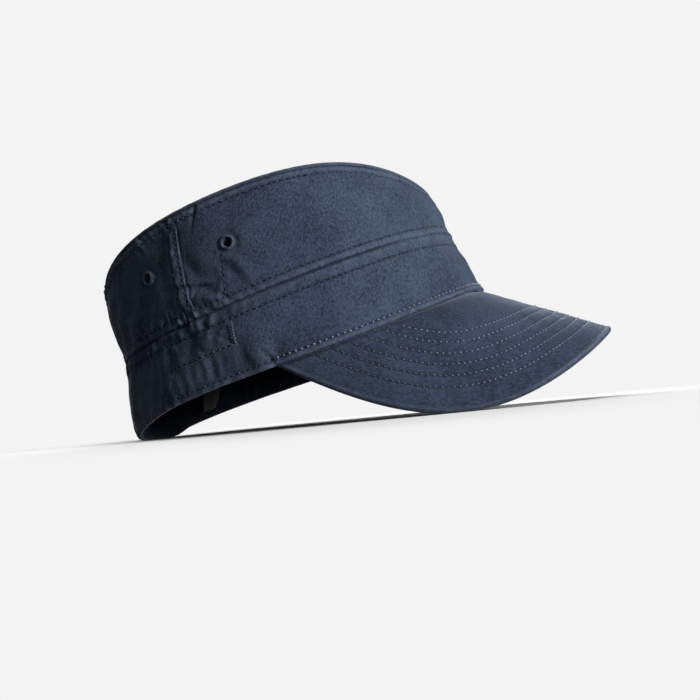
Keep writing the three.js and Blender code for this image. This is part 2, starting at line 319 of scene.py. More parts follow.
# Folds by angle, level, spread in degrees, rise as a share of the wall, lean in degrees and height in mm.
# Those of crownFolds are in the solids too
crownFolds = [
    (0, 0.45, 70, 0.35, 0, 0.7),
    (105, 0.3, 3.2, 0.16, 0, -1.4),
    (104, 0.52, 4.5, 0.1, 0, 0.8),
    (113, 0.45, 3.2, 0.6, 0, 0.7),
    (120, 0.18, 8, 0.14, 0, 1),
    (131, 0.4, 6, 0.3, 0, -1.1),
    (180, 0.35, 38, 0.3, 0, 1.3),
    (152, 0.12, 9, 0.12, 0, -0.9),
]
crownCreases = [
    (0, 0.16, 55, 0.24, 0, -2.2),
    (180, 0.68, 42, 0.3, 0, 2.6),
    (100.8, 0.94, 0.55, 0.12, -17, -1.3),
    (96.4, 0.3, 1.9, 0.13, 14, -1.0),
    (93.4, 0.26, 2.0, 0.16, 12, 0.5),
    (100.6, 0.2, 1.3, 0.1, -25, 0.6),
    (103.0, 0.16, 0.8, 0.1, 30, -0.7),
    (109.4, 0.2, 0.8, 0.09, -20, -0.7),
    (106.2, 0.13, 1.6, 0.06, 0, 0.6),
    (99.0, 0.28, 0.5, 0.2, -8, -0.35),
    (107.6, 0.47, 1.5, 0.12, 5, -0.8),
    (103.2, 0.42, 2.4, 0.07, 14, 0.5),
    (128, 0.2, 5, 0.05, 30, -0.7),
    (134, 0.3, 6, 0.07, 20, 0.6),
    (141, 0.7, 1.8, 0.2, -16, 0.45),
]
# an overhanging fold across the side seam: slope in levels for each degree, span in degrees, height in mm
pinch = {"angle": 110, "level": 0.33, "slope": 0.011, "span": (101, 105, 113, 117), "height": 1.6}
eyelets = [{"end": "Front", "angle": 94.5, "level": 0.54}, {"end": "Rear", "angle": 123.5, "level": 0.58}]
# mm; clear is the radius of the hole in the panel, dimple the depth, radius and width of the dip round it
eyelet = {
    "holeRadius": 1.9, "outerRadius": 3.7, "height": 3.8, "wraps": 30,
    "clear": 3.1, "dimple": (0.55, 4.5, 1.2),
}
sides = (("right", -1), ("left", 1))


def crownEdges(angle, top="top"):
    # from just above the band seam to just under the top panel, whose thickness is measured upright
    gap = cloth["gap"] if top == "solidTop" else cloth["seamGap"]
    drop = (cloth["thickness"] + gap) / archUpright(ringPoint(rings[top], angle)[..., 1], top)
    return wallEdges("seam", top, angle, gap / 2, drop)


def sideSeamAngle(level):
    # upright low down, leaning forward as a power of the level
    return np.radians(crown["seamFoot"] - crown["seamLean"] * np.clip(level, 0, 1) ** crown["seamBend"])


def behindSeam(angle, level):
    # mm along the wall from the side seam, positive towards the rear
    return (np.radians(fromFront(angle)) - sideSeamAngle(level)) * sideRadius


def eyeletDistance(angle, level, height):
    # mm along the wall to the nearest eyelet
    degrees = fromFront(angle)
    along = [np.radians(degrees - row["angle"]) * sideRadius for row in eyelets]
    up = [(level - row["level"]) * height for row in eyelets]
    return np.min(np.hypot(along, up), axis=0)


def seamRelief(behind, level, rungs):
    # felled side seam: a valley, a narrow folded edge, its row's groove, a padded strip with a puckered row,
    # then a hollow in the rear panel; rungs are short folds across it
    width = crown["stripWidth"]
    strip = smoothStep(behind, -0.05, 0.4) * (1 - smoothStep(behind, width - 0.5, width + 2.4))
    between = window(level, 0.07, 0.13, 0.84, 0.9)  # fades under the rows at both ends
    relief = strip * (0.25 + 0.14 * rungs) * (0.4 + 0.6 * between)
    relief += between * (0.2 + 0.08 * rungs) * bell(behind, 0.35, 0.3) * smoothStep(behind, -0.05, 0.25)
    valley = (0.3 + 0.1 * rungs) * bell(behind, -0.4, 0.6)
    relief -= between * (valley + 0.35 * bell(behind, crown["edgeRow"], 0.4))
    relief += (0.3 + 0.24 * rungs) * (bell(behind, width - 1.4, 0.8) + bell(behind, width + 1.1, 0.7))
    relief -= (0.6 + 0.2 * rungs) * bell(behind, width, 0.5)
    return relief - 1.7 * bell(behind, crown["hollow"] - 2 * level, 4.2) * bell(level, 0.58, 0.38)


def pinchRelief(angle, level, height):
    # full just above a slanting line and cut back below it, fading upwards, with a second fold lower down
    degrees = fromFront(angle)
    up = (level - pinch["level"] - pinch["slope"] * (degrees - pinch["angle"])) * height
    over = smoothStep(up, -0.8, 0.1) * np.exp(-np.maximum(up, 0) / 8)
    return pinch["height"] * window(degrees, *pinch["span"]) * (over + 0.75 * bell(up, -6.5, 3.6))


def crownRelief(angle, level, base, height):
    # sum of the folds, sewn edges, gathers, side seams and slack, with a dimple round each eyelet
    low = level * height
    high = (1 - level) * height
    foot, head = crown["foot"], crown["head"]
    relief = foldRelief(crownFolds + crownCreases, angle, level)
    relief += frontFlat(angle) * sewnEdge(low, foot) + topShow(angle) * sewnEdge(high, head)
    relief += pucker(angle, low, foot) + pucker(angle, high, head)
    relief += gathers(angle, base, low, crown["gathers"])
    rungs = softNoise(base * np.array([0.15, 0.15, 1.0]), 5.0, 13)
    relief += seamRelief(behindSeam(angle, level), level, rungs) + pinchRelief(angle, level, height)
    away = eyeletDistance(angle, level, height)
    relief += (1 - bell(away, 0, 7)) * slack(angle, base, crown["slack"])
    return relief - ridges(away, [eyelet["dimple"]])


def crownWearAndShade(angle, level, height):
    # paler along both edges and the side seam's ridge, as rubbing and painted highlight, with painted light
    # and shade on the creases round the side seams; below zero, painted shade in the seams, rows and the
    # valley before the ridge
    low = level * height
    high = (1 - level) * height
    foot, head = crown["foot"], crown["head"]
    behind = behindSeam(angle, level)
    rubbedAndLit = ridges(low, foot["rubbedAndLit"]) + ridges(high, head["rubbedAndLit"]) + 0.15 * bell(behind, 4.4, 0.8)
    # pale fold ridge of the side seam as painted highlight and rubbing, dark valley before it as painted
    # shade
    rubbedAndLit += window(level, 0.08, 0.13, 0.83, 0.88) * ridges(behind, [(0.4, 0.3, 0.25), (-0.7, -0.4, 0.4)])
    # paler crease crests and darker valleys: painted light and shade, some rubbing on the crests
    rubbedAndLit += 0.4 * gathers(angle, wallBase(crownEdges(angle), level), low, crown["gathers"])
    # painted shade in the seams, stitch rows and at the end of the felled strip
    paintedShade = seamShadeShare(angle) * (bell(low, 0, 0.6) + bell(high, 0, 0.6)) + 0.5 * bell(low, foot["row"], 0.5)
    paintedShade += 0.35 * topShow(angle) * bell(high, head["row"], 0.5)
    paintedShade += 0.4 * bell(behind, crown["stripWidth"], 0.5)
    return np.clip(rubbedAndLit - 1.2 * paintedShade, -1, 1)


def crownSurface(angle, level, inner=False):
    # a straight line from band seam to top seam, pushed out level by its relief and rounded at its edges
    edges = crownEdges(angle)
    height = edges[2]
    base = wallBase(edges, level)
    offset = crownRelief(angle, level, base, height)
    low = level * height
    high = (1 - level) * height
    if inner:
        down = seamLip(low)  # turned down behind the band
        up = seamLip(high)  # and up under the top panel
        offset = offset - cloth["thickness"] - cloth["lipDepth"] * (down + up)
        base[..., 2] += cloth["topLip"] * up - cloth["lip"] * down
    else:
        edgeRound = cloth["edgeRound"]
        dip = edgeDip(low, seamRound(angle)) + edgeDip(high, 1.4 * edgeRound * topShow(angle))
        dip = dip + edgeDip(np.abs(behindSeam(angle, level)), 0.5 * edgeRound)
        offset = offset - np.minimum(dip, 1.7 * edgeRound)
    return base + outward(angle) * offset[..., None]


# Band

band = {
    "head": {
        "row": 5.8, "raised": 0.4, "fade": (5.2, 7.8), "groove": 0.5,
        "rubbedAndLit": [(0.35, 1.5, 0.8), (0.15, 3.4, 1.4)],
        "pucker": (0.09, 0.24), "waves": (58, 130), "slant": 0.45, "reach": 8.0, "seed": 21,
    },
    "welt": {"row": 3.5, "raised": 0.5, "fade": (0.5, 7.0), "groove": 0.5},  # along the peak
    "weltAtFront": 0.9,  # mm that the welt gains at the front
    "hem": {"row": 2.7, "raised": 0.6, "fade": (2.3, 4.2), "groove": 0.4},  # behind it
    "hemRowTo": 122,  # degrees from the front at which the hem's row is lost in the cloth
    "hemThickness": 2.6,
    "hemHeight": 8.0,
    "rim": {"pucker": (0.07, 0.12), "waves": (60, 130), "slant": -0.4, "reach": 5.0, "seed": 22},
    "rimRound": 1.1,
    "rimFlattening": 2.2,
    "rollHeight": 8.0,  # mm above the surface it rests on within which the rim is rolled under
    "rollDepth": 5.0,
    "settled": (149, 167),  # degrees from the front between which the rim comes down to that surface
    "gathers": {"reach": 10, "seeds": (26, 27)},
    "slack": {"heights": (0.25, 0.1, 0.18), "sizes": (36, 12), "seeds": (24, 25)},
    "columns": 702,
    "rowStep": 1.0,
}
bandFolds = [
    (0, 0.5, 70, 0.4, 0, 0.5),
    (95.5, 0.2, 2.6, 0.28, 0, 1.3),
    (90.5, 0.12, 2.2, 0.2, 0, -0.9),
    (128, 0.45, 6, 0.35, 0, 0.9),
    (140, 0.3, 7, 0.3, 0, -1),
    (180, 0.55, 30, 0.35, 0, 0.8),
    (92.9, 0.1, 0.6, 0.17, 8, -1.3),
    (97.4, 0.22, 1.6, 0.14, 10, 0.7),
    (99.4, 0.3, 0.9, 0.13, 6, -0.5),
    (103.8, 0.6, 0.6, 0.13, 21, -0.6),
    (109.2, 0.62, 2.6, 0.16, 0, 1.3),
    (114.6, 0.66, 2.0, 0.15, -6, -1.2),
    (121.2, 0.5, 1.2, 0.25, 6, -0.7),
    (127, 0.58, 2.4, 0.24, 0, 1.1),
    (134, 0.72, 5, 0.08, 20, 0.6),
    (151, 0.45, 2.0, 0.3, -8, 0.8),
    (180, 0.5, 34, 0.4, 0, 1.1),
    (0, 0.9, 55, 0.3, 0, -1.5),
    (120.5, 0.26, 9.0, 0.26, 0, 2.7),
    (105.5, 0.6, 1.1, 0.12, -9, 0.5),
    (111.8, 0.62, 0.8, 0.14, 12, -0.8),
]
peakCorner = 91.9  # degrees from the front at which the peak ends


def restHeight(y):
    # the surface that the cap stands on, seen in the plane of its rim
    rear = ringPoint(rings["rim"], np.array(np.pi))
    return rear[2] + band["rimFlattening"] - (rear[1] - y) * np.tan(restPitch)


def rimSag(angle):
    # how far the soft rim settles towards the surface on both sides of its rear
    rim = ringPoint(rings["rim"], angle)
    above = np.maximum(rim[..., 2] - restHeight(rim[..., 1]), 0)
    return above * smoothStep(fromFront(angle), *band["settled"])


def bandEdges(angle):
    # from the settled rim to just under the crown seam
    return wallEdges("rim", "seam", angle, -rimSag(angle), cloth["seamGap"] / 2)


def hemShare(angle):
    # 0 along the peak, 1 along the folded hem behind it
    return smoothStep(fromFront(angle), peakCorner - 0.8, peakCorner + 1.6)


def bandRelief(angle, level, base, height):
    # sum of the folds, sewn edges, gathers and slack, with upright ripples below the tabs
    degrees = fromFront(angle)
    low = level * height
    high = (1 - level) * height
    hem = hemShare(angle)
    front = band["weltAtFront"] * (1 - smoothStep(degrees, 25, 75))
    relief = foldRelief(bandFolds, angle, level) + frontFlat(angle) * sewnEdge(high, band["head"])
    relief += (1 - hem) * sewnEdge(low, band["welt"], front) + hem * sewnEdge(low, band["hem"])
    relief += pucker(angle, high, band["head"]) + pucker(angle, low, band["rim"])
    relief += gathers(angle, base, high, band["gathers"])
    belowTab = window(degrees, 99, 103, 124, 134) * bell(low, 8.5, 6.5)
    relief += 0.45 * belowTab * ringWaves(angle, 0.1 * low, 84, 114, 23)
    return relief + slack(angle, base, band["slack"])


def tabPaintedLight(angle, level):
    # paler round and below the tabs: painted light where the cloth stands out there
    return 0.3 * bell(fromFront(angle), 110, 11) * bell(level, 0.42, 0.4)


def bandWearAndShade(angle, level, height):
    # paler along the folded hem (rubbing), the crown seam (rubbing and painted highlight) and the welt over
    # the peak (painted highlight); painted light and shade on the creases and painted light round the tabs;
    # below zero, painted shade in the seams, rows and the joint with the peak
    low = level * height
    high = (1 - level) * height
    hem = hemShare(angle)
    paintedShade = seamShadeShare(angle) * bell(high, 0, 0.6) + 0.5 * bell(high, band["head"]["row"], 0.5)
    # painted shade in the joint of welt and peak and along the welt's row
    paintedShade += (1 - hem) * ridges(low, [(0.8, 0, 0.5), (0.4, band["welt"]["row"], 0.6)])
    # the hem rubbed pale; the welt's edge paler as painted highlight
    rubbedAndLit = hem * bell(low, 0, 1.3) + 0.55 * (1 - hem) * bell(low, 1.4, 0.9)
    rubbedAndLit += ridges(high, band["head"]["rubbedAndLit"]) + tabPaintedLight(angle, level)
    # paler crease crests and darker valleys: painted light and shade, some rubbing on the crests
    rubbedAndLit += 0.4 * gathers(angle, wallBase(bandEdges(angle), level), high, band["gathers"])
    return np.clip(rubbedAndLit - 1.2 * paintedShade, -1, 1)


def bandSurface(angle, level, inner=False, raised=0.0):
    # a straight line from rim to crown seam, pushed out by its relief, rounded, and flattened where it rests
    edges = bandEdges(angle)
    height = edges[2]
    base = wallBase(edges, level)
    low = level * height
    high = (1 - level) * height
    dip = edgeDip(low, band["rimRound"]) + edgeDip(high, seamRound(angle))
    offset = bandRelief(angle, level, base, height) + raised
    if inner:
        up = seamLip(high)  # the allowance turned up behind the crown
        above = smoothStep(low, band["hemHeight"], band["hemHeight"] + 1.5)
        thick = band["hemThickness"] + (cloth["thickness"] - band["hemThickness"]) * above
        offset = offset - thick + 0.6 * dip - cloth["lipDepth"] * up
        base[..., 2] += cloth["lip"] * up
    else:
        offset = offset - dip
    points = base + outward(angle) * offset[..., None]
    standing = points[..., 2] - restHeight(points[..., 1])
    rolled = edgeDip(standing, band["rollHeight"]) * band["rollDepth"] / band["rollHeight"]
    points = points - outward(angle) * rolled[..., None]
    points[..., 2] -= rolled * outward(angle)[..., 1] * np.tan(restPitch)  # so that the roll keeps its height
    points[..., 2] = np.maximum(points[..., 2], restHeight(points[..., 1]))
    return points


# Where the rest pitch and the place of the cap come from: the two eyelets of the right side in the frame

def eyeletMiddle(row):
    # the middle of a right eyelet of the solids, before the cap was pitched
    angle = np.array(-np.radians(row["angle"]))
    level = np.array(row["level"])
    relief = foldRelief(crownFolds, angle, level) - cloth["thickness"] / 2
    return wallBase(crownEdges(angle, "solidTop"), level) + outward(angle) * relief


def nodeMiddle(node):
    # the middle of a solid's box, mm in the shared frame
    low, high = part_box(node)
    return np.array((low + high) / 2) * 1000


frontInFrame = nodeMiddle("eyelet_front_right")
frontEyelet, rearEyelet = [eyeletMiddle(row) for row in eyelets]
lineInFrame = nodeMiddle("eyelet_rear_right") - frontInFrame
lineFlat = rearEyelet - frontEyelet
restPitch = np.arctan2(lineFlat[2], lineFlat[1]) - np.arctan2(lineInFrame[2], lineInFrame[1])
restTurn = np.array(Matrix.Rotation(-restPitch, 3, "X"))
restShift = frontInFrame - restTurn @ frontEyelet
print("cap pitched nose up by", round(np.degrees(restPitch), 2), "degrees")
print("and moved by", restShift.round(2), "mm")


def toFrame(points):
    # from mm in the plane of the rim to metres in the shared frame
    return (points @ restTurn.T + restShift) / 1000


# Top panel

topPanel = {
    "overhang": 0.3,
    "sag": 1.5,
    "edgeRound": 0.8,
    "ridgeInset": 4.2,  # mm in from its edge to the turned seam allowance underneath
    "columns": 460,
    "rowStep": 2.2,
}


def topSurface(angle, share, inner=False):
    # an oval whose height follows the arch of the top seam, sagging a little and rounded at its edge
    ring = rings["top"]
    show = topShow(angle)
    wide = ring["halfWide"] + topPanel["overhang"] * show
    long = ring["halfLong"] + topPanel["overhang"] * show
    x = share * wide * np.sin(angle)
    y = ring["midY"] - share * long * np.cos(angle)
    z = archHeight(y) - topPanel["sag"] * (1 - share**2)
    flat = np.stack([x, y, 0 * z], -1)
    inset = (1 - share) * (wide + long) / 2
    loose = 0.45 * softNoise(flat, 46, 31) + 0.16 * softNoise(flat, 17, 32)
    z = z + loose * smoothStep(inset, 0, 12)
    z = z + 0.16 * ringWaves(angle, 0.35 * inset, 50, 120, 12) * bell(inset, 6, 4)  # puckers along the seam
    if inner:
        z = z - cloth["thickness"] / archUpright(y) - cloth["lip"] * bell(inset, topPanel["ridgeInset"], 0.9)
    else:
        z = z - edgeDip(inset, topPanel["edgeRound"] * (0.3 + 0.7 * show))
    return np.stack([x, y, z], -1)


# Peak

peak = {
    "reach": 68.5,  # mm out from the rim at the front
    "roundness": 6.6,
    "cornerPower": 1.06,
    "slopes": (38.7, 50.3, -26.7),  # degrees: at the front, and its growth with the square and fourth power
    "thickness": 3.2,
    "edgeRound": 1.5,
    "endShare": 0.997,  # share of the corner angle at which the cloth ends
    "rows": (11.7, 17.2, 22.7, 28.2, 34.0, 39.5),  # mm from the outer edge to each row of stitches
    "rowEnd": 1.6,  # mm from the band at which the rows end
    "tuck": 3.6,  # mm that the sewn edge reaches in under the band
    "flange": (2.1, 2.5),  # mm in from the rim where it turns up behind the hem, and how far up
    "quilt": (0.14, 25, 20),  # mm, height, place and width of the padding, by distance from the outer edge
    "groove": (0.34, 0.6),  # mm, depth and width of the rows
    "bead": [(0.28, 1.6, 0.8), (-0.14, 3.1, 0.8)],  # mm, along the outer edge
    "columnStep": 0.8,
}


def peakShare(angle):
    # 0 at the front, 1 at the corners
    return np.abs(angle) / np.radians(peakCorner)


def peakReach(angle):
    # full at the front, falling off steeply to nothing at the corners
    return peak["reach"] * np.maximum(1 - peakShare(angle) ** peak["roundness"], 0) ** peak["cornerPower"]


def peakDirection(angle):
    # straight forward and down, steeper towards the corners
    first, second, fourth = peak["slopes"]
    share = peakShare(angle)
    slope = np.radians(first + second * share**2 + fourth * share**4)
    return np.stack([0 * slope, -np.cos(slope), -np.sin(slope)], -1)


def peakBase(angle, distance):
    # out along the direction from the rim; below zero, the sewn edge runs level under the band and turns up
    out = np.maximum(distance, 0)[..., None]
    tuck = np.minimum(distance, 0)
    point = ringPoint(rings["rim"], angle) + peakDirection(angle) * out + outward(angle) * tuck[..., None]
    bend, up = peak["flange"]
    point[..., 2] += up * smoothStep(-tuck, bend, peak["tuck"]) - cloth["gap"]
    return point


def peakNormal(angle, distance):
    # square to the direction out and to the line along the peak at the same distance
    step = 0.004
    out = np.maximum(distance, 0)
    return unit(np.cross(peakDirection(angle), peakBase(angle + step, out) - peakBase(angle - step, out)))


def peakEdgeLine():
    # angles spaced evenly along the outer edge, and the edge points
    end = np.radians(peakCorner) * peak["endShare"]
    fine = end * np.sin(np.linspace(-np.pi / 2, np.pi / 2, 4001))
    length = lengthAlong(peakBase(fine, peakReach(fine)))
    even = np.linspace(0, length[-1], int(length[-1] / peak["columnStep"]))
    angles = np.interp(even, length, fine)
    return angles, peakBase(angles, peakReach(angles))


peakAngles, peakEdge = peakEdgeLine()


def edgeDistance(points):
    # least distance to the outer edge line, worked out a few thousand points at a time
    flat = points.reshape(-1, 3)
    starts = peakEdge[:-1]
    runs = np.diff(peakEdge, axis=0)
    squares = np.sum(runs**2, axis=1)
    nearest = []
    for part in np.array_split(flat, max(1, len(flat) // 4000)):
        offset = part[:, None] - starts
        share = np.clip(np.sum(offset * runs, -1) / squares, 0, 1)
        away = offset - share[..., None] * runs
        nearest.append(np.sqrt(np.min(np.sum(away**2, -1), axis=1)))
    return np.concatenate(nearest).reshape(points.shape[:-1])


def peakSurface(angle, distance, inner=False):
    # the ruled board, quilted by its stitch rows, with a rolled outer edge and a sewn edge under the band
    base = peakBase(angle, distance)
    edge = edgeDistance(base)
    out = np.maximum(distance, 0)
    loose = 0.16 * softNoise(base, 30, 41) + 0.06 * softNoise(base, 9, 42)
    dip = edgeDip(edge, peak["edgeRound"])
    if inner:
        relief = 0.3 * loose - peak["thickness"] * smoothStep(edge, -2.5, 2.5) + dip
        relief = np.minimum(relief - 0.2 * (1 - smoothStep(edge, 0, 2.5)), -dip - 0.15)
    else:
        depth, width = peak["groove"]
        quilt = ridges(edge, [peak["quilt"]] + [(-depth, row, width) for row in peak["rows"]])
        relief = quilt * smoothStep(out, 0.5, 2.5)
        relief -= 0.4 * bell(out, 0.3, 1.0)  # pressed in where it meets the band
        relief += ridges(edge, peak["bead"]) + loose * smoothStep(out, 0, 6) - dip
    points = base + peakNormal(angle, distance) * relief[..., None]
    points[..., 2] = np.maximum(points[..., 2], restHeight(points[..., 1]))
    return points


# Meshes from grids

def gridQuads(grid):
    # the four corners of every cell of a grid, cells in one list
    cells = np.stack([grid[:-1, :-1], grid[:-1, 1:], grid[1:, 1:], grid[1:, :-1]], 2)
    return cells.reshape(-1, 4, *grid.shape[2:])


def closedShell(outer, inner, uv, isRing=False, keep=None, pole=None):
    # two grids back to back; each edge of the outer grid that has one cell only is walled to the inner grid.
    # pole holds an outer point, an inner point and a map place that close the last row, two cells at a time
    points = outer.reshape(-1, 3)
    under = inner.reshape(-1, 3)
    index = np.arange(len(points)).reshape(outer.shape[:2])
    if isRing:
        index = np.pad(index, ((0, 0), (0, 1)), mode="wrap")
    quads = gridQuads(index)
    corners = gridQuads(uv)
    if keep is not None:
        quads = quads[keep.ravel()]
        corners = corners[keep.ravel()]
    if pole is not None:
        last = index[-1]
        lastMap = uv[-1]
        tip = np.full(len(last) // 2, len(points))
        tipMap = np.broadcast_to(pole[2], (len(tip), 2))
        quads = np.concatenate([quads, np.stack([last[:-2:2], last[1:-1:2], last[2::2], tip], -1)])
        tipCorners = np.stack([lastMap[:-2:2], lastMap[1:-1:2], lastMap[2::2], tipMap], 1)
        corners = np.concatenate([corners, tipCorners])
        points = np.concatenate([points, [pole[0]]])
        under = np.concatenate([under, [pole[1]]])
    count = len(points)
    ends = np.roll(quads, -1, axis=1)
    isOpen = ~np.isin(quads * count + ends, ends * count + quads)
    start, end = quads[isOpen], ends[isOpen]
    startMap, endMap = corners[isOpen], np.roll(corners, -1, axis=1)[isOpen]
    walls = np.stack([end, start, start + count, end + count], -1)
    faces = np.concatenate([quads, quads[:, ::-1] + count, walls])
    wallMap = np.stack([endMap, startMap, startMap, endMap], 1)
    return np.concatenate([points, under]), faces, np.concatenate([corners, corners[:, ::-1], wallMap])


def addMesh(name, points, faces, uv, label, values):
    # a smooth mesh in the shared frame with one value for each point, turned inside out if its faces point in
    first, second, third, fourth = np.moveaxis(points[faces], 1, 0)
    volume = np.sum(np.cross(second - first, third - first) * first)
    volume += np.sum(np.cross(third - first, fourth - first) * first)
    if volume < 0:
        faces = faces[:, ::-1]
        uv = uv[:, ::-1]
    mesh = bpy.data.meshes.new(name)
    mesh.from_pydata(toFrame(points), [], faces)
    mesh.uv_layers.new(name="cloth").data.foreach_set("uv", uv.astype(np.float32).ravel())
    mesh.attributes.new(label, "FLOAT", "POINT").data.foreach_set("value", values.astype(np.float32))
    mesh.shade_smooth()
    return mesh


def addPiece(name, mesh, material, slot, *nodes):
    # an object at the origin that rides with the cap, takes a finish and stands for solids
    mesh.materials.append(material)
    piece = bpy.data.objects.new(name, mesh)
    bpy.context.scene.collection.objects.link(piece)
    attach(piece, "root")
    if nodes:
        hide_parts(*nodes)
    return piece


def addSheet(name, node, material, slot, outer, inner, uv, wearLightAndShade, wearLightAndShadeInside, **closing):
    # a closed shell of cloth with its wear, painted light and painted shade on both faces
    points, faces, corners = closedShell(outer, inner, uv, **closing)
    wearLightAndShade = np.concatenate([np.ravel(wearLightAndShade), np.ravel(wearLightAndShadeInside)])
    return addPiece(name, addMesh(name, points, faces, corners, "wearLightAndShade", wearLightAndShade), material, slot, node)


# Materials

class Wire:
    # a node socket that takes part in sums; each operator adds a Math node
    def __init__(self, tree, socket):
        self.tree = tree
        self.socket = socket

    def node(self, kind, settings, sockets, output=0):
        # any node: its settings, what goes into its sockets, and the output that is wrapped
        made = self.tree.nodes.new(kind)
        for key, value in settings.items():
            setattr(made, key, value)
        for key, value in sockets.items():
            socket = next(s for s in made.inputs if key in (s.identifier, s.name))
            if isinstance(value, Wire):
                self.tree.links.new(value.socket, socket)
            else:
                socket.default_value = value
        if not isinstance(output, int):
            output = next(k for k, s in enumerate(made.outputs) if output in (s.identifier, s.name))
        return Wire(self.tree, made.outputs[output])

    def math(self, operation, first, second=0.0):
        # one operation on two values
        return self.node("ShaderNodeMath", {"operation": operation}, {"Value": first, "Value_001": second})

    def __add__(self, other):
        return self.math("ADD", self, other)

    __radd__ = __add__

    def __sub__(self, other):
        return self.math("SUBTRACT", self, other)

    def __rsub__(self, other):
        return self.math("SUBTRACT", other, self)

    def __mul__(self, other):
        return self.math("MULTIPLY", self, other)

    __rmul__ = __mul__


def newMaterial(name, constants):
    # a principled material whose fixed sockets are set directly
    material = bpy.data.materials.new(name)
    material.use_nodes = True
    tree = material.node_tree
    shader = next(n for n in tree.nodes if n.type == "BSDF_PRINCIPLED")
    for key, value in constants.items():
        shader.inputs[key].default_value = value
    return material, Wire(tree, None), shader


def feed(wire, shader, socket):
    # links a value to one of the shader's sockets
    wire.tree.links.new(wire.socket, shader.inputs[socket])


def clothMap(wire):
    # the piece's own map in mm, across and along
    mapped = wire.node("ShaderNodeUVMap", {"uv_map": "cloth"}, {})
    return [wire.node("ShaderNodeSeparateXYZ", {}, {"Vector": mapped}, axis) for axis in ("X", "Y")]


def objectPlace(wire):
    # metres in the shared frame
    return wire.node("ShaderNodeTexCoord", {}, {}, "Object")


def cloud(wire, place, scale, detail, roughness=0.5):
    # noise between 0 and 1
    sockets = {"Vector": place, "Scale": scale, "Detail": detail, "Roughness": roughness}
    return wire.node("ShaderNodeTexNoise", {}, sockets, "Fac")


def attribute(wire, name):
    # a value that the mesh holds for each point
    return wire.node("ShaderNodeAttribute", {"attribute_name": name}, {}, "Fac")


def blend(wire, share, first, second):
    # from one colour to another
    sockets = {"Factor_Float": share, "A_Color": first, "B_Color": second}
    return wire.node("ShaderNodeMix", {"data_type": "RGBA", "clamp_factor": True}, sockets, "Result_Color")


def bump(wire, height, distance, **under):
    # relief so many metres deep, on top of another one where that is given
    sockets = {"Strength": 1.0, "Distance": distance, "Height": height, **under}
    return wire.node("ShaderNodeBump", {}, sockets, "Normal")


def sineWave(wire, place, length):
    # one wave for each length of the map
    return wire.math("SINE", place * (2 * np.pi / length))


twill = {
    "pitch": 0.95,  # mm between the diagonal ribs
    "slope": 58,  # degrees of the ribs from level
    "thread": 0.5,  # mm between threads along a rib
    "dark": (0.022, 0.031, 0.053, 1),
    "light": (0.078, 0.107, 0.172, 1),
    # pale colour for rubbed cloth and for painted highlights
    "rubbedAndLit": (0.17, 0.215, 0.3, 1),
    "slubLong": 1.7,  # mm, light and dark lengths of yarn along the ribs
    "slubWide": 0.95,
    "ribHeight": 0.000025,  # m
    "grainHeight": 0.00011,
    "specular": 0.18,
    "sheenRoughness": 0.45,
    "sheenTint": (0.7, 0.8, 1, 1),
}


def twillMaterial(name, tint, sheen):
    # washed twill: broken diagonal ribs on the cloth's own map, grain and faded patches;
    # the per-point attribute above zero turns it pale, as rubbing and as painted highlight, and below zero
    # darkens it as painted shade, in seams, rows and inside
    material, wire, shader = newMaterial(name, {
        "Specular IOR Level": twill["specular"],
        "Sheen Weight": sheen,
        "Sheen Roughness": twill["sheenRoughness"],
        "Sheen Tint": twill["sheenTint"],
    })
    place = objectPlace(wire)
    across, along = clothMap(wire)
    slope = np.radians(twill["slope"])
    alongRib = across * np.cos(slope) + along * np.sin(slope)
    acrossRib = across * np.sin(slope) - along * np.cos(slope)
    weave = sineWave(wire, acrossRib, twill["pitch"]) * 0.6 + sineWave(wire, alongRib, twill["thread"]) * 0.4
    slubPlace = {"X": alongRib * (1 / twill["slubLong"]), "Y": acrossRib * (1 / twill["slubWide"])}
    slub = cloud(wire, wire.node("ShaderNodeCombineXYZ", {}, slubPlace, "Vector"), 1.0, 2.0, 0.6)
    grain = cloud(wire, place, 1000.0, 2.0, 0.6)
    fleck = cloud(wire, place, 320.0, 2.0)
    patch = cloud(wire, place, 75.0, 3.0)
    wash = cloud(wire, place, 22.0, 2.0)
    wearLightAndShade = attribute(wire, "wearLightAndShade")
    fade = 0.5 + (slub - 0.5) * 1.7 + (grain - 0.5) * 1.8 + (fleck - 0.5) * 0.5 + weave * 0.03
    # below zero the per-point attribute darkens the cloth: painted shade
    fade = fade + (patch - 0.5) * 0.8 + (wash - 0.5) * 0.8 + wire.math("MINIMUM", wearLightAndShade, 0.0) * 0.7
    dark, light = [tuple(c * t for c, t in zip(twill[key], tint)) for key in ("dark", "light")]
    # above zero it blends towards the pale colour: rubbing and painted highlight
    rubbedAndLitShare = wearLightAndShade * (0.25 + (fleck - 0.3) * 0.9)
    feed(blend(wire, rubbedAndLitShare, blend(wire, fade, dark, light), twill["rubbedAndLit"]), shader, "Base Color")
    feed(0.78 + grain * 0.2, shader, "Roughness")
    pile = grain * 0.7 + slub * 0.7 + fleck * 0.4
    ribs = bump(wire, weave, twill["ribHeight"])
    feed(bump(wire, pile, twill["grainHeight"], Normal=ribs), shader, "Normal")
    return material


threadLook = {
    "crown": (0.035, 0.048, 0.082, 1),
    # the peak and welt threads are lighter copies of the same navy thread: painted highlight
    "peak": (0.15, 0.186, 0.252, 1),
    "welt": (0.135, 0.168, 0.23, 1),
    "washed": (0.046, 0.063, 0.102, 1),
    "tack": (0.047, 0.063, 0.1, 1),
    "eyelets": (0.05, 0.067, 0.105, 1),
    # near-black needle holes: painted shade
    "hole": (0.004, 0.006, 0.011, 1),
    "pale": 1.35,  # how much lighter the light plies are
    "twist": 0.7,  # mm along the thread for one turn of its plies
    "plyHeight": 0.00006,  # m
    "specularTint": (0.75, 0.86, 1, 1),
}


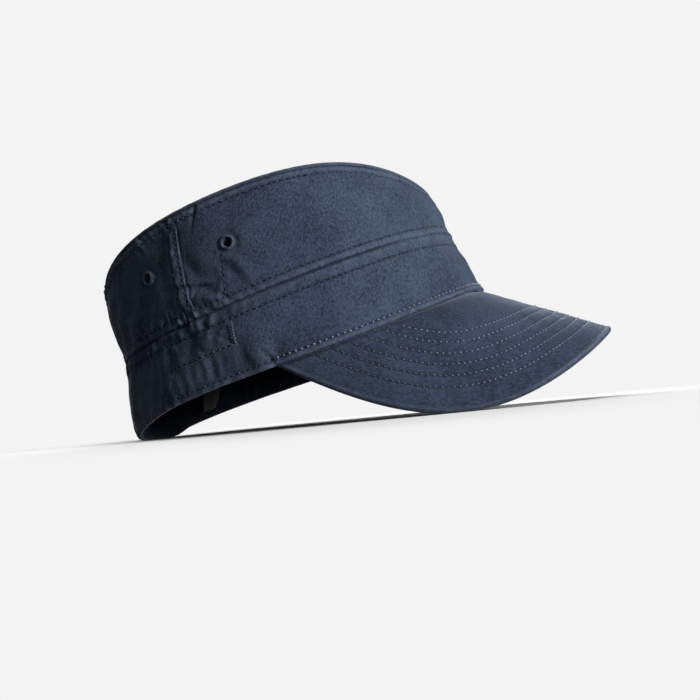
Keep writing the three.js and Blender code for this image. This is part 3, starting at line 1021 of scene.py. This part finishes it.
def threadMaterial(name, colour, gloss):
    # twisted thread: plies that wind round it; the hole attribute blends to the near-black hole colour,
    # painted shade in the needle holes and on the darker peak stitches
    fixed = {"Specular IOR Level": gloss, "Specular Tint": threadLook["specularTint"], "Sheen Weight": 0.1}
    material, wire, shader = newMaterial(name, fixed)
    along, around = clothMap(wire)
    grain = cloud(wire, objectPlace(wire), 900.0, 1.0)
    hole = attribute(wire, "hole")
    plies = wire.math("SINE", along * (2 * np.pi / threadLook["twist"]) + around * (2 * np.pi))
    pale = tuple(threadLook["pale"] * c for c in colour[:3]) + (1,)
    spun = blend(wire, grain + plies * 0.2, colour, pale)
    feed(blend(wire, hole, spun, threadLook["hole"]), shader, "Base Color")
    feed(0.26 + grain * 0.14 + hole * 0.55, shader, "Roughness")
    feed(bump(wire, plies, threadLook["plyHeight"]), shader, "Normal")
    return material


tapeLook = {
    "dark": (0.15, 0.16, 0.155, 1),
    "light": (0.27, 0.28, 0.27, 1),
    "rib": 0.6,  # mm
    "ribHeight": 0.00006,  # m
}


def tapeMaterial():
    # plain grey woven tape: fine ribs across it and a little soiling
    material, wire, shader = newMaterial("greyTape", {"Specular IOR Level": 0.3, "Sheen Weight": 0.1})
    ribs = sineWave(wire, clothMap(wire)[1], tapeLook["rib"])
    soil = cloud(wire, objectPlace(wire), 140.0, 3.0)
    feed(blend(wire, soil + ribs * 0.12, tapeLook["dark"], tapeLook["light"]), shader, "Base Color")
    feed(0.6 + soil * 0.25, shader, "Roughness")
    feed(bump(wire, ribs, tapeLook["ribHeight"]), shader, "Normal")
    return material


navyTwill = twillMaterial("navyTwill", (1, 1, 1, 1), 0.22)
# the same twill darkened for the peak: painted shade
shadedPeakTwill = twillMaterial("shadedPeakTwill", (0.62, 0.66, 0.69, 1), 0.5)
navyThread = threadMaterial("navyThread", threadLook["crown"], 0.5)
# lighter thread copies for the peak and welt rows: painted highlight
litPeakThread = threadMaterial("litPeakThread", threadLook["peak"], 1.0)
litWeltThread = threadMaterial("litWeltThread", threadLook["welt"], 1.0)
washedThread = threadMaterial("washedThread", threadLook["washed"], 0.3)
tackThread = threadMaterial("tackThread", threadLook["tack"], 0.5)
eyeletThread = threadMaterial("eyeletThread", threadLook["eyelets"], 0.7)
greyTape = tapeMaterial()
print("materials made")


# Sewn panels

# mm, the radius of the walls' map, about 93.5, with which a whole number of ribs goes round
ribsPerMm = np.sin(np.radians(twill["slope"])) / twill["pitch"]
mapRadius = round(2 * np.pi * 93.5 * ribsPerMm) / (2 * np.pi * ribsPerMm)


def wallMap(angle, level, height):
    # mm round the cap and up the wall
    return np.stack([angle * mapRadius, level * height], -1)


def crownPanel(name, node, isFront):
    # the wall between two side seams: columns graded near the seams, rows graded near the stitch rows
    def span(level):
        # the first angle of the panel at a level and the angle that it covers
        past = crown["seamOverlap"] / sideRadius
        half = sideSeamAngle(level) + past if isFront else np.pi - sideSeamAngle(level) + past
        return (0 if isFront else np.pi) - half, 2 * half

    start, covered = span(0.5)
    nearSeam = gradedRows(10, [0.3, crown["edgeRow"], crown["stripWidth"]], 0.28, crown["columnStep"])
    shares = spanRows(covered * sideRadius, nearSeam, nearSeam, crown["columnStep"])
    lowRows = gradedRows(9, [0.2, crown["foot"]["row"]])
    highRows = gradedRows(11, [0.2, crown["head"]["row"]])
    level = spanRows(crownEdges(start + covered * shares)[2], lowRows, highRows, crown["rowStep"]).T
    start, covered = span(level)
    angle = start + covered * shares
    outer = crownSurface(angle, level)
    height = crownEdges(angle)[2]
    keep = np.ones((level.shape[0] - 1, level.shape[1] - 1), bool)
    for row in eyelets:
        for _, sign in sides:
            place = crownSurface(np.array(sign * np.radians(row["angle"])), np.array(row["level"]))
            away = gridQuads(np.linalg.norm(outer - place, axis=-1))
            keep &= np.max(away, axis=1).reshape(keep.shape) > eyelet["clear"]
    wearLightAndShade = crownWearAndShade(angle, level, height)
    inner = crownSurface(angle, level, inner=True)
    uv = wallMap(angle, level, height)
    # the inner face gets the darkest value all over: painted shade inside the cap
    return addSheet(name, node, navyTwill, "twill", outer, inner, uv, wearLightAndShade, 0 * wearLightAndShade - 1, keep=keep)


crownFront = crownPanel("crownFront", "crown_front", True)
crownRear = crownPanel("crownRear", "crown_rear", False)
print("crown panels made")


def bandRing():
    # the whole band, a ring of columns with rows graded near the stitch rows
    angle = np.linspace(-np.pi, np.pi, band["columns"] + 1)
    height = bandEdges(angle)[2]
    lowRows = gradedRows(8, [0.2, 3.1], width=1.1)
    highRows = gradedRows(9, [0.2, band["head"]["row"]])
    level = spanRows(height, lowRows, highRows, band["rowStep"]).T
    angle = angle + 0 * level
    outer = bandSurface(angle, level)[:, :-1]
    inner = bandSurface(angle, level, inner=True)[:, :-1]
    wearLightAndShade = bandWearAndShade(angle, level, height)[:, :-1]
    uv = wallMap(angle, level, height)
    # the inner face is darkened: painted shade inside the band
    return addSheet("bandCloth", "band", navyTwill, "twill", outer, inner, uv, wearLightAndShade, wearLightAndShade - 1, isRing=True)


bandCloth = bandRing()
print("band made")


def topOval():
    # rings of points from the rolled edge in to the middle point
    angle = np.linspace(0, 2 * np.pi, topPanel["columns"] + 1)
    radius = (rings["top"]["halfWide"] + rings["top"]["halfLong"]) / 2
    graded = 12  # mm from the edge within which the rows are
    step = topPanel["rowStep"]
    nearEdge = gradedRows(graded, [0.2, topPanel["ridgeInset"]], 0.2, 1.2, 1.2)
    inset = np.concatenate([nearEdge, np.arange(graded + step, radius - 1, step)])
    angle, share = np.meshgrid(angle, 1 - inset / radius)
    outer = topSurface(angle, share)
    inner = topSurface(angle, share, inner=True)[:, :-1]
    middle = np.zeros(1)
    above = topSurface(middle, middle)[0]
    pole = (above, topSurface(middle, middle, inner=True)[0], above[:2])
    inset = ((1 - share) * radius)[:, :-1]
    # paler rim on top; the inner face is darkened all over as painted shade, and at its turned edge this
    # turns pale at the front and stays dark at the sides, painted shade along the top seam
    wearLightAndShade = np.append(0.6 * bell(inset, 0, 1.8), 0)
    turned = bell(inset, 0, 0.6) * (1.25 - topShow(angle[:, :-1]))  # edge turned down, dark at the sides only
    wearLightAndShadeInside = np.append(1.4 * turned, 0) - 1
    sheet = (outer[:, :-1], inner, outer[..., :2], wearLightAndShade, wearLightAndShadeInside)
    return addSheet("topCloth", "crown_top", navyTwill, "twill", *sheet, isRing=True, pole=pole)


topCloth = topOval()
print("top panel made")


def peakBoard():
    # columns even along the outer edge, rows graded at the rolled edge and at the tuck under the band
    fromEdge = gradedRows(peak["reach"], [0.2, 1.0], 0.22, 0.95, 1.6)
    share = (1 - fromEdge / peak["reach"])[::-1][:, None]
    tuck = -peak["tuck"] * np.array([1.0, 0.6, 0.25])[:, None] + 0 * peakAngles
    distance = np.concatenate([tuck, share * peakReach(peakAngles)])
    angle = peakAngles + 0 * distance
    outer = peakSurface(angle, distance)
    inner = peakSurface(angle, distance, inner=True)
    edge = edgeDistance(peakBase(angle, distance))
    uv = np.stack([lengthAlong(peakEdge[:, ::2]) + 0 * distance, distance], -1)
    degrees = fromFront(angle)
    corner = smoothStep(degrees, 55, 72)
    # painted shade where the peak meets the band and in its row grooves
    paintedShade = bell(distance, 0, 1.0) + ridges(edge, [(0.3, row, peak["groove"][1]) for row in peak["rows"]])
    # painted shade on the peak next to the band, away from its corners
    paintedShade += 0.26 * (1 - corner) * (1 - smoothStep(distance, 6, 26))  # darker by the band
    # paler rolled outer edge, strongest at the front: rubbing and painted highlight
    rubbedAndLit = (1 - 0.8 * smoothStep(degrees, 35, 75)) * bell(edge, 1.3, 0.8)
    # paler front of the peak: painted highlight
    rubbedAndLit += 0.18 * bell(degrees, 0, 14) + 0.1 * corner
    wearLightAndShade = np.clip(rubbedAndLit - paintedShade, -1, 1)
    # underside darkened: painted shade under the peak
    return addSheet("peakCloth", "peak", shadedPeakTwill, "peak_twill", outer, inner, uv, wearLightAndShade, 0 * wearLightAndShade - 0.6)


peakBoard()
print("peak made")


# Side tabs and label, sewn on the band

# stitchInset and the zigzag's half width in mm; bandTall is the band's height in mm at the tabs
sideTab = {
    "angles": (100.5, 122.0), "levels": (0.44, 0.79), "thickness": 0.6,
    "stitchInset": 1.3, "zigzags": 14, "zigzagHalf": 1.3, "bandTall": 34,
}
# curl in mm and lean in degrees, both of the label's free end
innerLabel = {"angles": (133.5, 142.5), "levels": (0.12, 0.74), "thickness": 0.8, "curl": 6.0, "lean": 4.5}


def borderDistance(patch, angle, level):
    # mm to the nearest of a patch's four sides
    height = bandEdges(angle)[2]
    start, end = np.radians(patch["angles"])
    low, high = patch["levels"]
    gaps = [(np.abs(angle) - start) * sideRadius, (end - np.abs(angle)) * sideRadius]
    gaps += [(level - low) * height, (high - level) * height]
    return np.maximum(np.min(gaps, axis=0), 0)


def tabSurface(angle, level, inner=False):
    # stands off the band by a tab's thickness; its border is rounded down, its stitched outline pressed in
    border = borderDistance(sideTab, angle, level)
    thick = sideTab["thickness"]
    rise = thick - edgeDip(border, 0.8 * thick) - 0.22 * bell(border, sideTab["stitchInset"], 0.5)
    return bandSurface(angle, level, raised=cloth["gap"] + (0 * rise if inner else rise))


def labelSurface(angle, level, inner=False):
    # hangs inside the band from its top edge, curling in and leaning with the square of the way down
    start, end = np.radians(innerLabel["angles"])
    low, high = innerLabel["levels"]
    hanging = ((high - level) / (high - low)) ** 2
    lift = innerLabel["curl"] * hanging * (0.15 + 0.85 * (angle - start) / (end - start))
    near = -band["hemThickness"] - cloth["gap"] - (innerLabel["thickness"] if inner else 0)
    return bandSurface(angle + np.radians(innerLabel["lean"]) * hanging, level, raised=near - lift)


def bandPatch(name, node, material, slot, patch, surface, sign):
    # a small sheet on the band, graded towards its border and rubbed along it
    start, end = np.radians(patch["angles"]) * sign
    low, high = patch["levels"]
    border = gradedRows(3, [0.2, 1.3], 0.15, 0.6)
    tall = (high - low) * bandEdges(np.array(start))[2]
    level = low + (high - low) * spanRows(tall, border, border, 0.8)
    angle = start + (end - start) * spanRows(abs(end - start) * sideRadius, border, border, 0.8)
    angle, level = np.meshgrid(angle, level)
    outer = surface(angle, level)
    inner = surface(angle, level, inner=True)
    uv = wallMap(angle, level, bandEdges(angle)[2])
    # pale border as rubbing, plus painted light round the tabs
    wearLightAndShade = 0.15 * bell(borderDistance(patch, angle, level), 0, 0.8) + tabPaintedLight(angle, level)
    return addSheet(name, node, material, slot, outer, inner, uv, wearLightAndShade, wearLightAndShade)


rightTab, leftTab = [
    bandPatch(f"{side}TabCloth", f"side_tab_{side}", navyTwill, "twill", sideTab, tabSurface, sign)
    for side, sign in sides
]
labelTape = bandPatch("labelTape", "inner_label", greyTape, "label", innerLabel, labelSurface, 1)
print("tabs and label made")


# Eyelets

def eyeletRing(name, node, row, sign):
    # a ring of thread: an oval profile carried round a circle, rippled by the wraps
    wraps = eyelet["wraps"]
    around, across = np.meshgrid(np.linspace(0, 2 * np.pi, 4 * wraps + 1), np.linspace(0, 2 * np.pi, 25))
    middle = (eyelet["holeRadius"] + eyelet["outerRadius"]) / 2
    half = (eyelet["outerRadius"] - eyelet["holeRadius"]) / 2
    ripple = 1 + 0.1 * np.cos(wraps * around) + 0.05 * np.cos(3 * around + 1)
    radius = middle + half * np.cos(across) * ripple
    rise = eyelet["height"] / 2 * np.sin(across) * ripple
    angle = np.array(sign * np.radians(row["angle"]))
    lower, upper, _ = crownEdges(angle)
    up = unit(upper - lower)
    out = outward(angle)
    out = unit(out - up * (out @ up))
    centre = crownSurface(angle, np.array(row["level"])) - outward(angle) * cloth["thickness"] / 2
    points = centre + (radius * np.cos(around))[..., None] * np.cross(up, out)
    points = points + (radius * np.sin(around))[..., None] * up + rise[..., None] * out
    points = points[:-1, :-1]
    index = np.arange(points.shape[0] * points.shape[1]).reshape(points.shape[:2])
    faces = gridQuads(np.pad(index, ((0, 1), (0, 1)), mode="wrap"))
    uv = gridQuads(np.stack([across * half, around * wraps / (2 * np.pi)], -1))
    mesh = addMesh(name, points.reshape(-1, 3), faces, uv, "hole", np.zeros(index.size))
    return addPiece(name, mesh, eyeletThread, "thread", node)


for row in eyelets:
    for side, sign in sides:
        eyeletRing(f"{side}{row['end']}Eyelet", f"eyelet_{row['end'].lower()}_{side}", row, sign)
print("eyelets made")


# Stitching

# mm; pitch runs from needle hole to needle hole, gapShare of it is without thread, lift is how far a stitch
# stands off the cloth, hole the size of its needle holes
stitchKinds = {
    "plain": {"pitch": 3.0, "gapShare": 0.34, "width": 0.7, "height": 0.6, "lift": 0.22, "hole": 1.0},
    "faint": {"pitch": 3.0, "gapShare": 0.3, "width": 0.6, "height": 0.5, "lift": 0.1, "hole": 0.5},
    "welt": {"pitch": 2.9, "gapShare": 0.42, "width": 0.95, "height": 0.85, "lift": 0.36, "hole": 1.2},
    "peak": {"pitch": 2.8, "gapShare": 0.4, "width": 0.8, "height": 0.7, "lift": 0.32, "hole": 1.1},
    "tack": {"pitch": 2.8, "gapShare": 0.0, "width": 0.65, "height": 0.6, "lift": 0.25, "hole": 0.8},
}
# sink is how far a stitch's ends go under, holeDepths where a needle hole starts and ends
stitch = {"sink": 0.5, "points": 7, "sides": 6, "holeLong": 0.8, "holeWide": 0.55, "holeDepths": (0.08, -0.3)}
holeSides = 8
wallSteps = (0.004, 0.01)  # of angle and level, over which a wall's slope is measured
peakSteps = (0.004, 0.4)  # of angle and mm on the peak


def rowSpans(surface, a, b, kind="plain", steps=wallSteps):
    # cuts a path on a surface, given as two parameter lists, into stitches of one kind
    look = stitchKinds[kind]
    length = lengthAlong(surface(a, b))
    count = max(1, int(round(length[-1] / look["pitch"])))
    ends = np.linspace(0, length[-1], count + 1)
    gap = look["gapShare"] * (length[-1] / count) / 2
    marks = (ends[:-1] + gap, ends[1:] - gap, ends)
    return surface, [np.interp(mark, length, values) for values in (a, b) for mark in marks], steps


def stitchTubes(surface, a, b, steps, look, dice):
    # oval tubes carried along the stitches' paths, arched over the cloth and dipping under it at both ends
    t = np.linspace(0, 1, stitch["points"])
    around = np.linspace(0, 2 * np.pi, stitch["sides"] + 1)[:-1]
    a = a[0][:, None] + (a[1] - a[0])[:, None] * t
    b = b[0][:, None] + (b[1] - b[0])[:, None] * t
    centre = surface(a, b)
    normal = surfaceNormals(surface, a, b, *steps)
    side = np.cross(normal, unit(np.gradient(centre, axis=1)))
    arch = 1 - (2 * t - 1) ** 4
    taper = 0.6 + 0.4 * arch
    lift = ((look["lift"] + stitch["sink"]) * arch - stitch["sink"]) * dice.uniform(0.85, 1.15, (len(a), 1))
    wide = look["width"] / 2 * taper * dice.uniform(0.9, 1.1, (len(a), 1))
    high = look["height"] / 2 * taper
    centre = centre + normal * lift[..., None]
    ringOut = side[:, :, None] * (wide[:, :, None] * np.cos(around))[..., None]
    ringUp = normal[:, :, None] * (high[None, :, None] * np.sin(around))[..., None]
    return centre[:, :, None] + ringOut + ringUp


def needleHoles(surface, a, b, steps, look):
    # oval plugs set into the cloth, long along the row, coloured near-black as painted shade in the needle
    # holes
    middle = surface(a, b)
    normal = surfaceNormals(surface, a, b, *steps)
    forward = np.gradient(middle, axis=0)
    forward = unit(forward - normal * np.sum(forward * normal, -1, keepdims=True))
    sideways = np.cross(normal, forward)
    turns = np.linspace(0, 2 * np.pi, holeSides + 1)[:-1, None]
    oval = look["hole"] * stitch["holeLong"] * np.cos(turns) * forward[:, None]
    oval = oval + look["hole"] * stitch["holeWide"] * np.sin(turns) * sideways[:, None]
    ends = [(middle + depth * normal)[:, None] + oval for depth in stitch["holeDepths"]]
    return np.concatenate(ends, axis=1)


def sewRows(name, rows, kind, material, seed, stitchShade=None):
    # the tubes and holes of all rows; the last argument gives the share of painted shade on a stitch at an
    # angle
    look = stitchKinds[kind]
    dice = np.random.default_rng(seed)
    tubes = []
    holes = []
    shades = []
    for surface, (aStart, aStop, aEnds, bStart, bStop, bEnds), steps in rows:
        tubes.append(stitchTubes(surface, (aStart, aStop), (bStart, bStop), steps, look, dice))
        holes.append(needleHoles(surface, aEnds, bEnds, steps, look))
        shades.append(stitchShade(aStart) if stitchShade else 0 * aStart)
    joined = [np.concatenate(parts) for parts in (tubes, holes, shades)]
    return stitchMesh(name, *joined, look["pitch"] * (1 - look["gapShare"]), material)


def stitchMesh(name, tubes, holes, shades, shown, material):
    # joins all tubes and plugs into one mesh; a tube's end is two quads, a plug's three, with quads round it;
    # shown is the length of thread on a stitch, for the map
    total, count, around = tubes.shape[:3]
    index = np.arange(count * around).reshape(count, around)
    tubeFaces = gridQuads(np.pad(index, ((0, 0), (0, 1)), mode="wrap"))
    last = index[-1]
    caps = [[3, 2, 1, 0], [5, 4, 3, 0], last[[0, 1, 2, 3]], last[[0, 3, 4, 5]]]
    first = np.arange(total)[:, None, None] * index.size
    oval = np.array([[0, 1, 2, 3], [0, 3, 4, 7], [4, 5, 6, 7]])
    plug = np.arange(2 * holeSides).reshape(2, holeSides)
    plugSide = gridQuads(np.pad(plug.T, ((0, 1), (0, 0)), mode="wrap"))
    holeFaces = np.concatenate([oval, oval[:, ::-1] + holeSides, plugSide])
    firstHole = total * index.size + np.arange(len(holes))[:, None, None] * plug.size
    groups = [first + tubeFaces, first + np.array(caps), firstHole + holeFaces]
    faces = np.concatenate([group.reshape(-1, 4) for group in groups])
    along, turn = np.meshgrid(np.linspace(0, shown, count), np.linspace(0, 1, around + 1), indexing="ij")
    tubeMap = np.tile(gridQuads(np.stack([along, turn], -1)), (total, 1, 1))
    uv = np.concatenate([tubeMap, np.zeros((len(faces) - len(tubeMap), 4, 2))])
    points = np.concatenate([tubes.reshape(-1, 3), holes.reshape(-1, 3)])
    dark = np.concatenate([np.repeat(shades, index.size), np.ones(len(holes) * plug.size)])
    return addPiece(name, addMesh(name, points, faces, uv, "hole", dark), material, "thread")


def wallRow(surface, edges, degrees, distance, fromTop=False, kind="plain"):
    # a row at a fixed distance from a wall's lower or upper edge
    angle = np.radians(degrees)
    level = distance / edges(angle)[2]
    return rowSpans(surface, angle, 1 - level if fromTop else level, kind)


crownWall = (crownSurface, crownEdges)
bandWall = (bandSurface, bandEdges)
topFrom = crown["topRowFrom"]
hemTo = band["hemRowTo"]
allRound = np.linspace(-180, 180, 3001)
topAtFront = np.linspace(-topFrom, topFrom, 1501)
topRound = np.linspace(topFrom, 360 - topFrom, 2001)
overPeak = np.linspace(-peakCorner, peakCorner, 2001)
hemBehind = np.linspace(hemTo, 360 - hemTo, 1501)
hemBeside = np.linspace(peakCorner + 1.2, hemTo, 501)

crownRows = [
    wallRow(*crownWall, allRound, crown["foot"]["row"]),
    wallRow(*crownWall, topRound, crown["head"]["row"], True),
]
upTheSeam = np.linspace(*crown["rowLevels"], 200)
shortLevels = np.linspace(*crown["shortRow"]["levels"], 100)
shortAngles = np.radians(np.linspace(*crown["shortRow"]["angles"], 100))
for _, sign in sides:
    for inset in (crown["edgeRow"], crown["stripWidth"]):
        angle = sign * (sideSeamAngle(upTheSeam) + inset / sideRadius)
        crownRows.append(rowSpans(crownSurface, angle, upTheSeam))
    crownRows.append(rowSpans(crownSurface, sign * shortAngles, shortLevels))
sewRows("crownStitches", crownRows, "plain", navyThread, 51)


def tabOutline(sign):
    # the stitched lower side and rear end just inside a tab's border, and the zigzag bar across its front end
    inset = np.array([1, -1]) * sideTab["stitchInset"]
    front, rear = np.radians(sideTab["angles"]) + inset / sideRadius
    low, high = np.array(sideTab["levels"]) + inset / sideTab["bandTall"]
    even = np.linspace(0, 1, 100)
    lowerSide = rowSpans(tabSurface, sign * (front + (rear - front) * even), low + 0 * even)
    rearEnd = rowSpans(tabSurface, sign * (rear + 0 * even), low + (high - low) * even)
    bars = np.linspace(low, high, sideTab["zigzags"])
    zigzag = sign * (front + sideTab["zigzagHalf"] / sideRadius * (-1.0) ** np.arange(len(bars)))
    bar = (tabSurface, (zigzag[:-1], zigzag[1:], zigzag, bars[:-1], bars[1:], bars), wallSteps)
    return lowerSide, rearEnd, bar


bandRows = [wallRow(*bandWall, allRound, band["head"]["row"], True)]
bandRows += [wallRow(*bandWall, sign * hemBeside, band["hem"]["row"]) for _, sign in sides]
tackRows = []
for _, sign in sides:
    lowerSide, rearEnd, bar = tabOutline(sign)
    bandRows += [lowerSide, rearEnd]
    tackRows.append(bar)
weltRows = [wallRow(*bandWall, overPeak, band["welt"]["row"], kind="welt")]
washedRows = [
    wallRow(*crownWall, topAtFront, crown["head"]["row"], True, "faint"),
    wallRow(*bandWall, hemBehind, band["hem"]["row"], kind="faint"),
]
sewRows("bandStitches", bandRows, "plain", navyThread, 52)
sewRows("weltStitches", weltRows, "welt", litWeltThread, 54)
sewRows("washedStitches", washedRows, "faint", washedThread, 55)
sewRows("tackStitches", tackRows, "tack", tackThread, 56)


def peakRow(row, distance, edge):
    # for each column, where the distance to the outer edge passes the row's, found between grid steps
    after = np.argmax(edge < row, axis=0)
    columns = np.arange(len(peakAngles))
    edgeBefore, edgeAfter = edge[after - 1, columns], edge[after, columns]
    outBefore, outAfter = distance[after - 1, columns], distance[after, columns]
    found = outBefore + (edgeBefore - row) / (edgeBefore - edgeAfter) * (outAfter - outBefore)
    inside = (edge[0] > row) & (found > peak["rowEnd"])
    return rowSpans(peakSurface, peakAngles[inside], found[inside], "peak", peakSteps)


def peakStitchShade(angle):
    # share of painted shade on the peak's stitches: none at the front, more towards its corners
    return 0.72 * smoothStep(fromFront(angle), 48, 74)


peakOut = np.linspace(0, 1, 80)[:, None] * peakReach(peakAngles)
peakOutEdge = edgeDistance(peakBase(peakAngles + 0 * peakOut, peakOut))
peakRows = [peakRow(row, peakOut, peakOutEdge) for row in peak["rows"]]
# peak stitches darker towards the corners: painted shade
sewRows("peakStitches", peakRows, "peak", litPeakThread, 53, peakStitchShade)
print("stitches sewn")


# Stage: pale floor, soft light and the photo's view from just above the floor

# m; bounce is what the floor throws back on the cap, fade where it passes into the backdrop
floorLook = {"size": 16.0, "colour": (0.8, 0.8, 0.8, 1), "bounce": (0.03, 0.03, 0.03, 1), "fade": (0.14, 0.4)}
backdrop = (0.9, 0.9, 0.9, 1)
lamps = [
    {"name": "key", "from": (-1.04, -1.68, 0.38), "to": (0, -0.02, 0.06), "size": 1.1, "power": 45},
    {"name": "overhead", "from": (0.0, -0.15, 1.9), "to": (0, 0, 0.06), "size": 1.3, "power": 6},
    {"name": "fill", "from": (1.66, 0.62, 0.9), "to": (0, 0, 0.06), "size": 1.4, "power": 34},
    {"name": "wash", "from": (0, 0, 2.2), "to": (0, 0.01, 0), "size": 1.6, "power": 26, "floorOnly": True},
]
# light from the walls round the set: its strengths low down and overhead, and the heights of the two
roomGlow = {"colour": (0.95, 0.97, 1, 1), "strengths": (0.36, 0.03), "heights": (0.05, 0.6)}
photoView = {
    "azimuth": -84.5,  # degrees round from the front, towards the wearer's right
    "elevation": -3.35,  # looking up a little, as low as the floor allows
    "roll": -5.42,
    "distance": 0.54,  # m
    "target": (0.0, 0.0, 0.06),
    "slide": (-0.0051, -0.0225),  # m, target moved right and up in the picture
    "focal": 1009.7,  # pixels of a 700 pixel frame
    "frame": 700,
}


def seenOrNot(wire, seen, unseen, kind):
    # one shader for what the camera sees, another for the light that is thrown back; closes the node tree
    direct = wire.node("ShaderNodeLightPath", {}, {}, "Is Camera Ray")
    both = wire.node("ShaderNodeMixShader", {}, {"Fac": direct, "Shader": unseen, "Shader_001": seen})
    feed(both, next(n for n in wire.tree.nodes if n.type == kind), "Surface")


def easedRange(wire, value, fromRange, toRange):
    # an s-curve from one range of values to another
    sockets = {"Value": value, "From Min": fromRange[0], "From Max": fromRange[1]}
    sockets |= {"To Min": toRange[0], "To Max": toRange[1]}
    return wire.node("ShaderNodeMapRange", {"interpolation_type": "SMOOTHSTEP"}, sockets, "Result")


def makeFloor():
    # a pale sheet lit near the cap, passing with distance into the brightness of the backdrop
    half = floorLook["size"] / 2
    mesh = bpy.data.meshes.new("floor")
    corners = [(-half, -half, 0), (half, -half, 0), (half, half, 0), (-half, half, 0)]
    mesh.from_pydata(corners, [], [(0, 1, 2, 3)])
    fixed = {"Base Color": floorLook["colour"], "Roughness": 0.9, "Specular IOR Level": 0.0}
    material, wire, shader = newMaterial("paleFloor", fixed)
    place = {"Vector": objectPlace(wire)}
    radius = wire.node("ShaderNodeVectorMath", {"operation": "LENGTH"}, place, "Value")
    share = easedRange(wire, radius, floorLook["fade"], (0.0, 1.0))
    glow = wire.node("ShaderNodeEmission", {}, {"Color": backdrop, "Strength": 1.0})
    lit = Wire(wire.tree, shader.outputs["BSDF"])
    pale = wire.node("ShaderNodeMixShader", {}, {"Fac": share, "Shader": lit, "Shader_001": glow})
    dull = wire.node("ShaderNodeBsdfDiffuse", {}, {"Color": floorLook["bounce"]})
    seenOrNot(wire, pale, dull, "OUTPUT_MATERIAL")
    mesh.materials.append(material)
    floor = bpy.data.objects.new("floor", mesh)
    bpy.context.scene.collection.objects.link(floor)
    return floor


def facing(back):
    # the axes of an object that looks along -back and stands upright
    back = unit(np.array(back, float))
    right = unit(np.cross([0, 0, 1], back))
    return right, np.cross(back, right), back


def placeObject(name, data, axes, place):
    # an object turned so that its X, Y and Z lie along three axes
    made = bpy.data.objects.new(name, data)
    made.matrix_world = Matrix([[*row, p] for row, p in zip(np.stack(axes, 1), place)] + [[0, 0, 0, 1]])
    bpy.context.scene.collection.objects.link(made)
    return made


def makeLight(floor):
    # round area lamps, one of them for the floor alone, and a world that glows low down, seen as backdrop
    floorOnly = bpy.data.collections.new("floorOnly")
    floorOnly.objects.link(floor)
    for lamp in lamps:
        data = bpy.data.lights.new(lamp["name"], "AREA")
        data.shape = "DISK"
        data.size = lamp["size"]
        data.energy = lamp["power"]
        axes = facing(np.subtract(lamp["from"], lamp["to"]))
        light = placeObject(lamp["name"], data, axes, lamp["from"])
        if lamp.get("floorOnly"):
            light.light_linking.receiver_collection = floorOnly
    world = bpy.data.worlds.new("studio")
    world.use_nodes = True
    wire = Wire(world.node_tree, None)
    seen = wire.node("ShaderNodeBackground", {}, {"Color": backdrop, "Strength": 1.0})
    place = wire.node("ShaderNodeTexCoord", {}, {}, "Generated")
    height = wire.node("ShaderNodeSeparateXYZ", {}, {"Vector": place}, "Z")
    strength = easedRange(wire, height, roomGlow["heights"], roomGlow["strengths"])
    lit = wire.node("ShaderNodeBackground", {}, {"Color": roomGlow["colour"], "Strength": strength})
    seenOrNot(wire, seen, lit, "OUTPUT_WORLD")
    bpy.context.scene.world = world


def makeCamera():
    # stands off the target by the distance, at the photo's azimuth and roll
    view = photoView
    azimuth, elevation, roll = np.radians([view["azimuth"], view["elevation"], view["roll"]])
    level, upright, back = facing([
        np.sin(azimuth) * np.cos(elevation),
        -np.cos(azimuth) * np.cos(elevation),
        np.sin(elevation),
    ])
    target = np.array(view["target"]) + view["slide"][0] * level + view["slide"][1] * upright
    place = target + back * view["distance"]
    right = np.cos(roll) * level + np.sin(roll) * upright
    up = np.cos(roll) * upright - np.sin(roll) * level
    data = bpy.data.cameras.new("camera")
    data.sensor_width = 36
    data.lens = view["focal"] / view["frame"] * data.sensor_width
    data.clip_start = 0.01
    bpy.context.scene.camera = placeObject("camera", data, (right, up, back), place)
    print("camera at", place.round(4))


makeLight(makeFloor())
makeCamera()
bpy.context.scene.view_settings.view_transform = "Standard"
print("stage set")
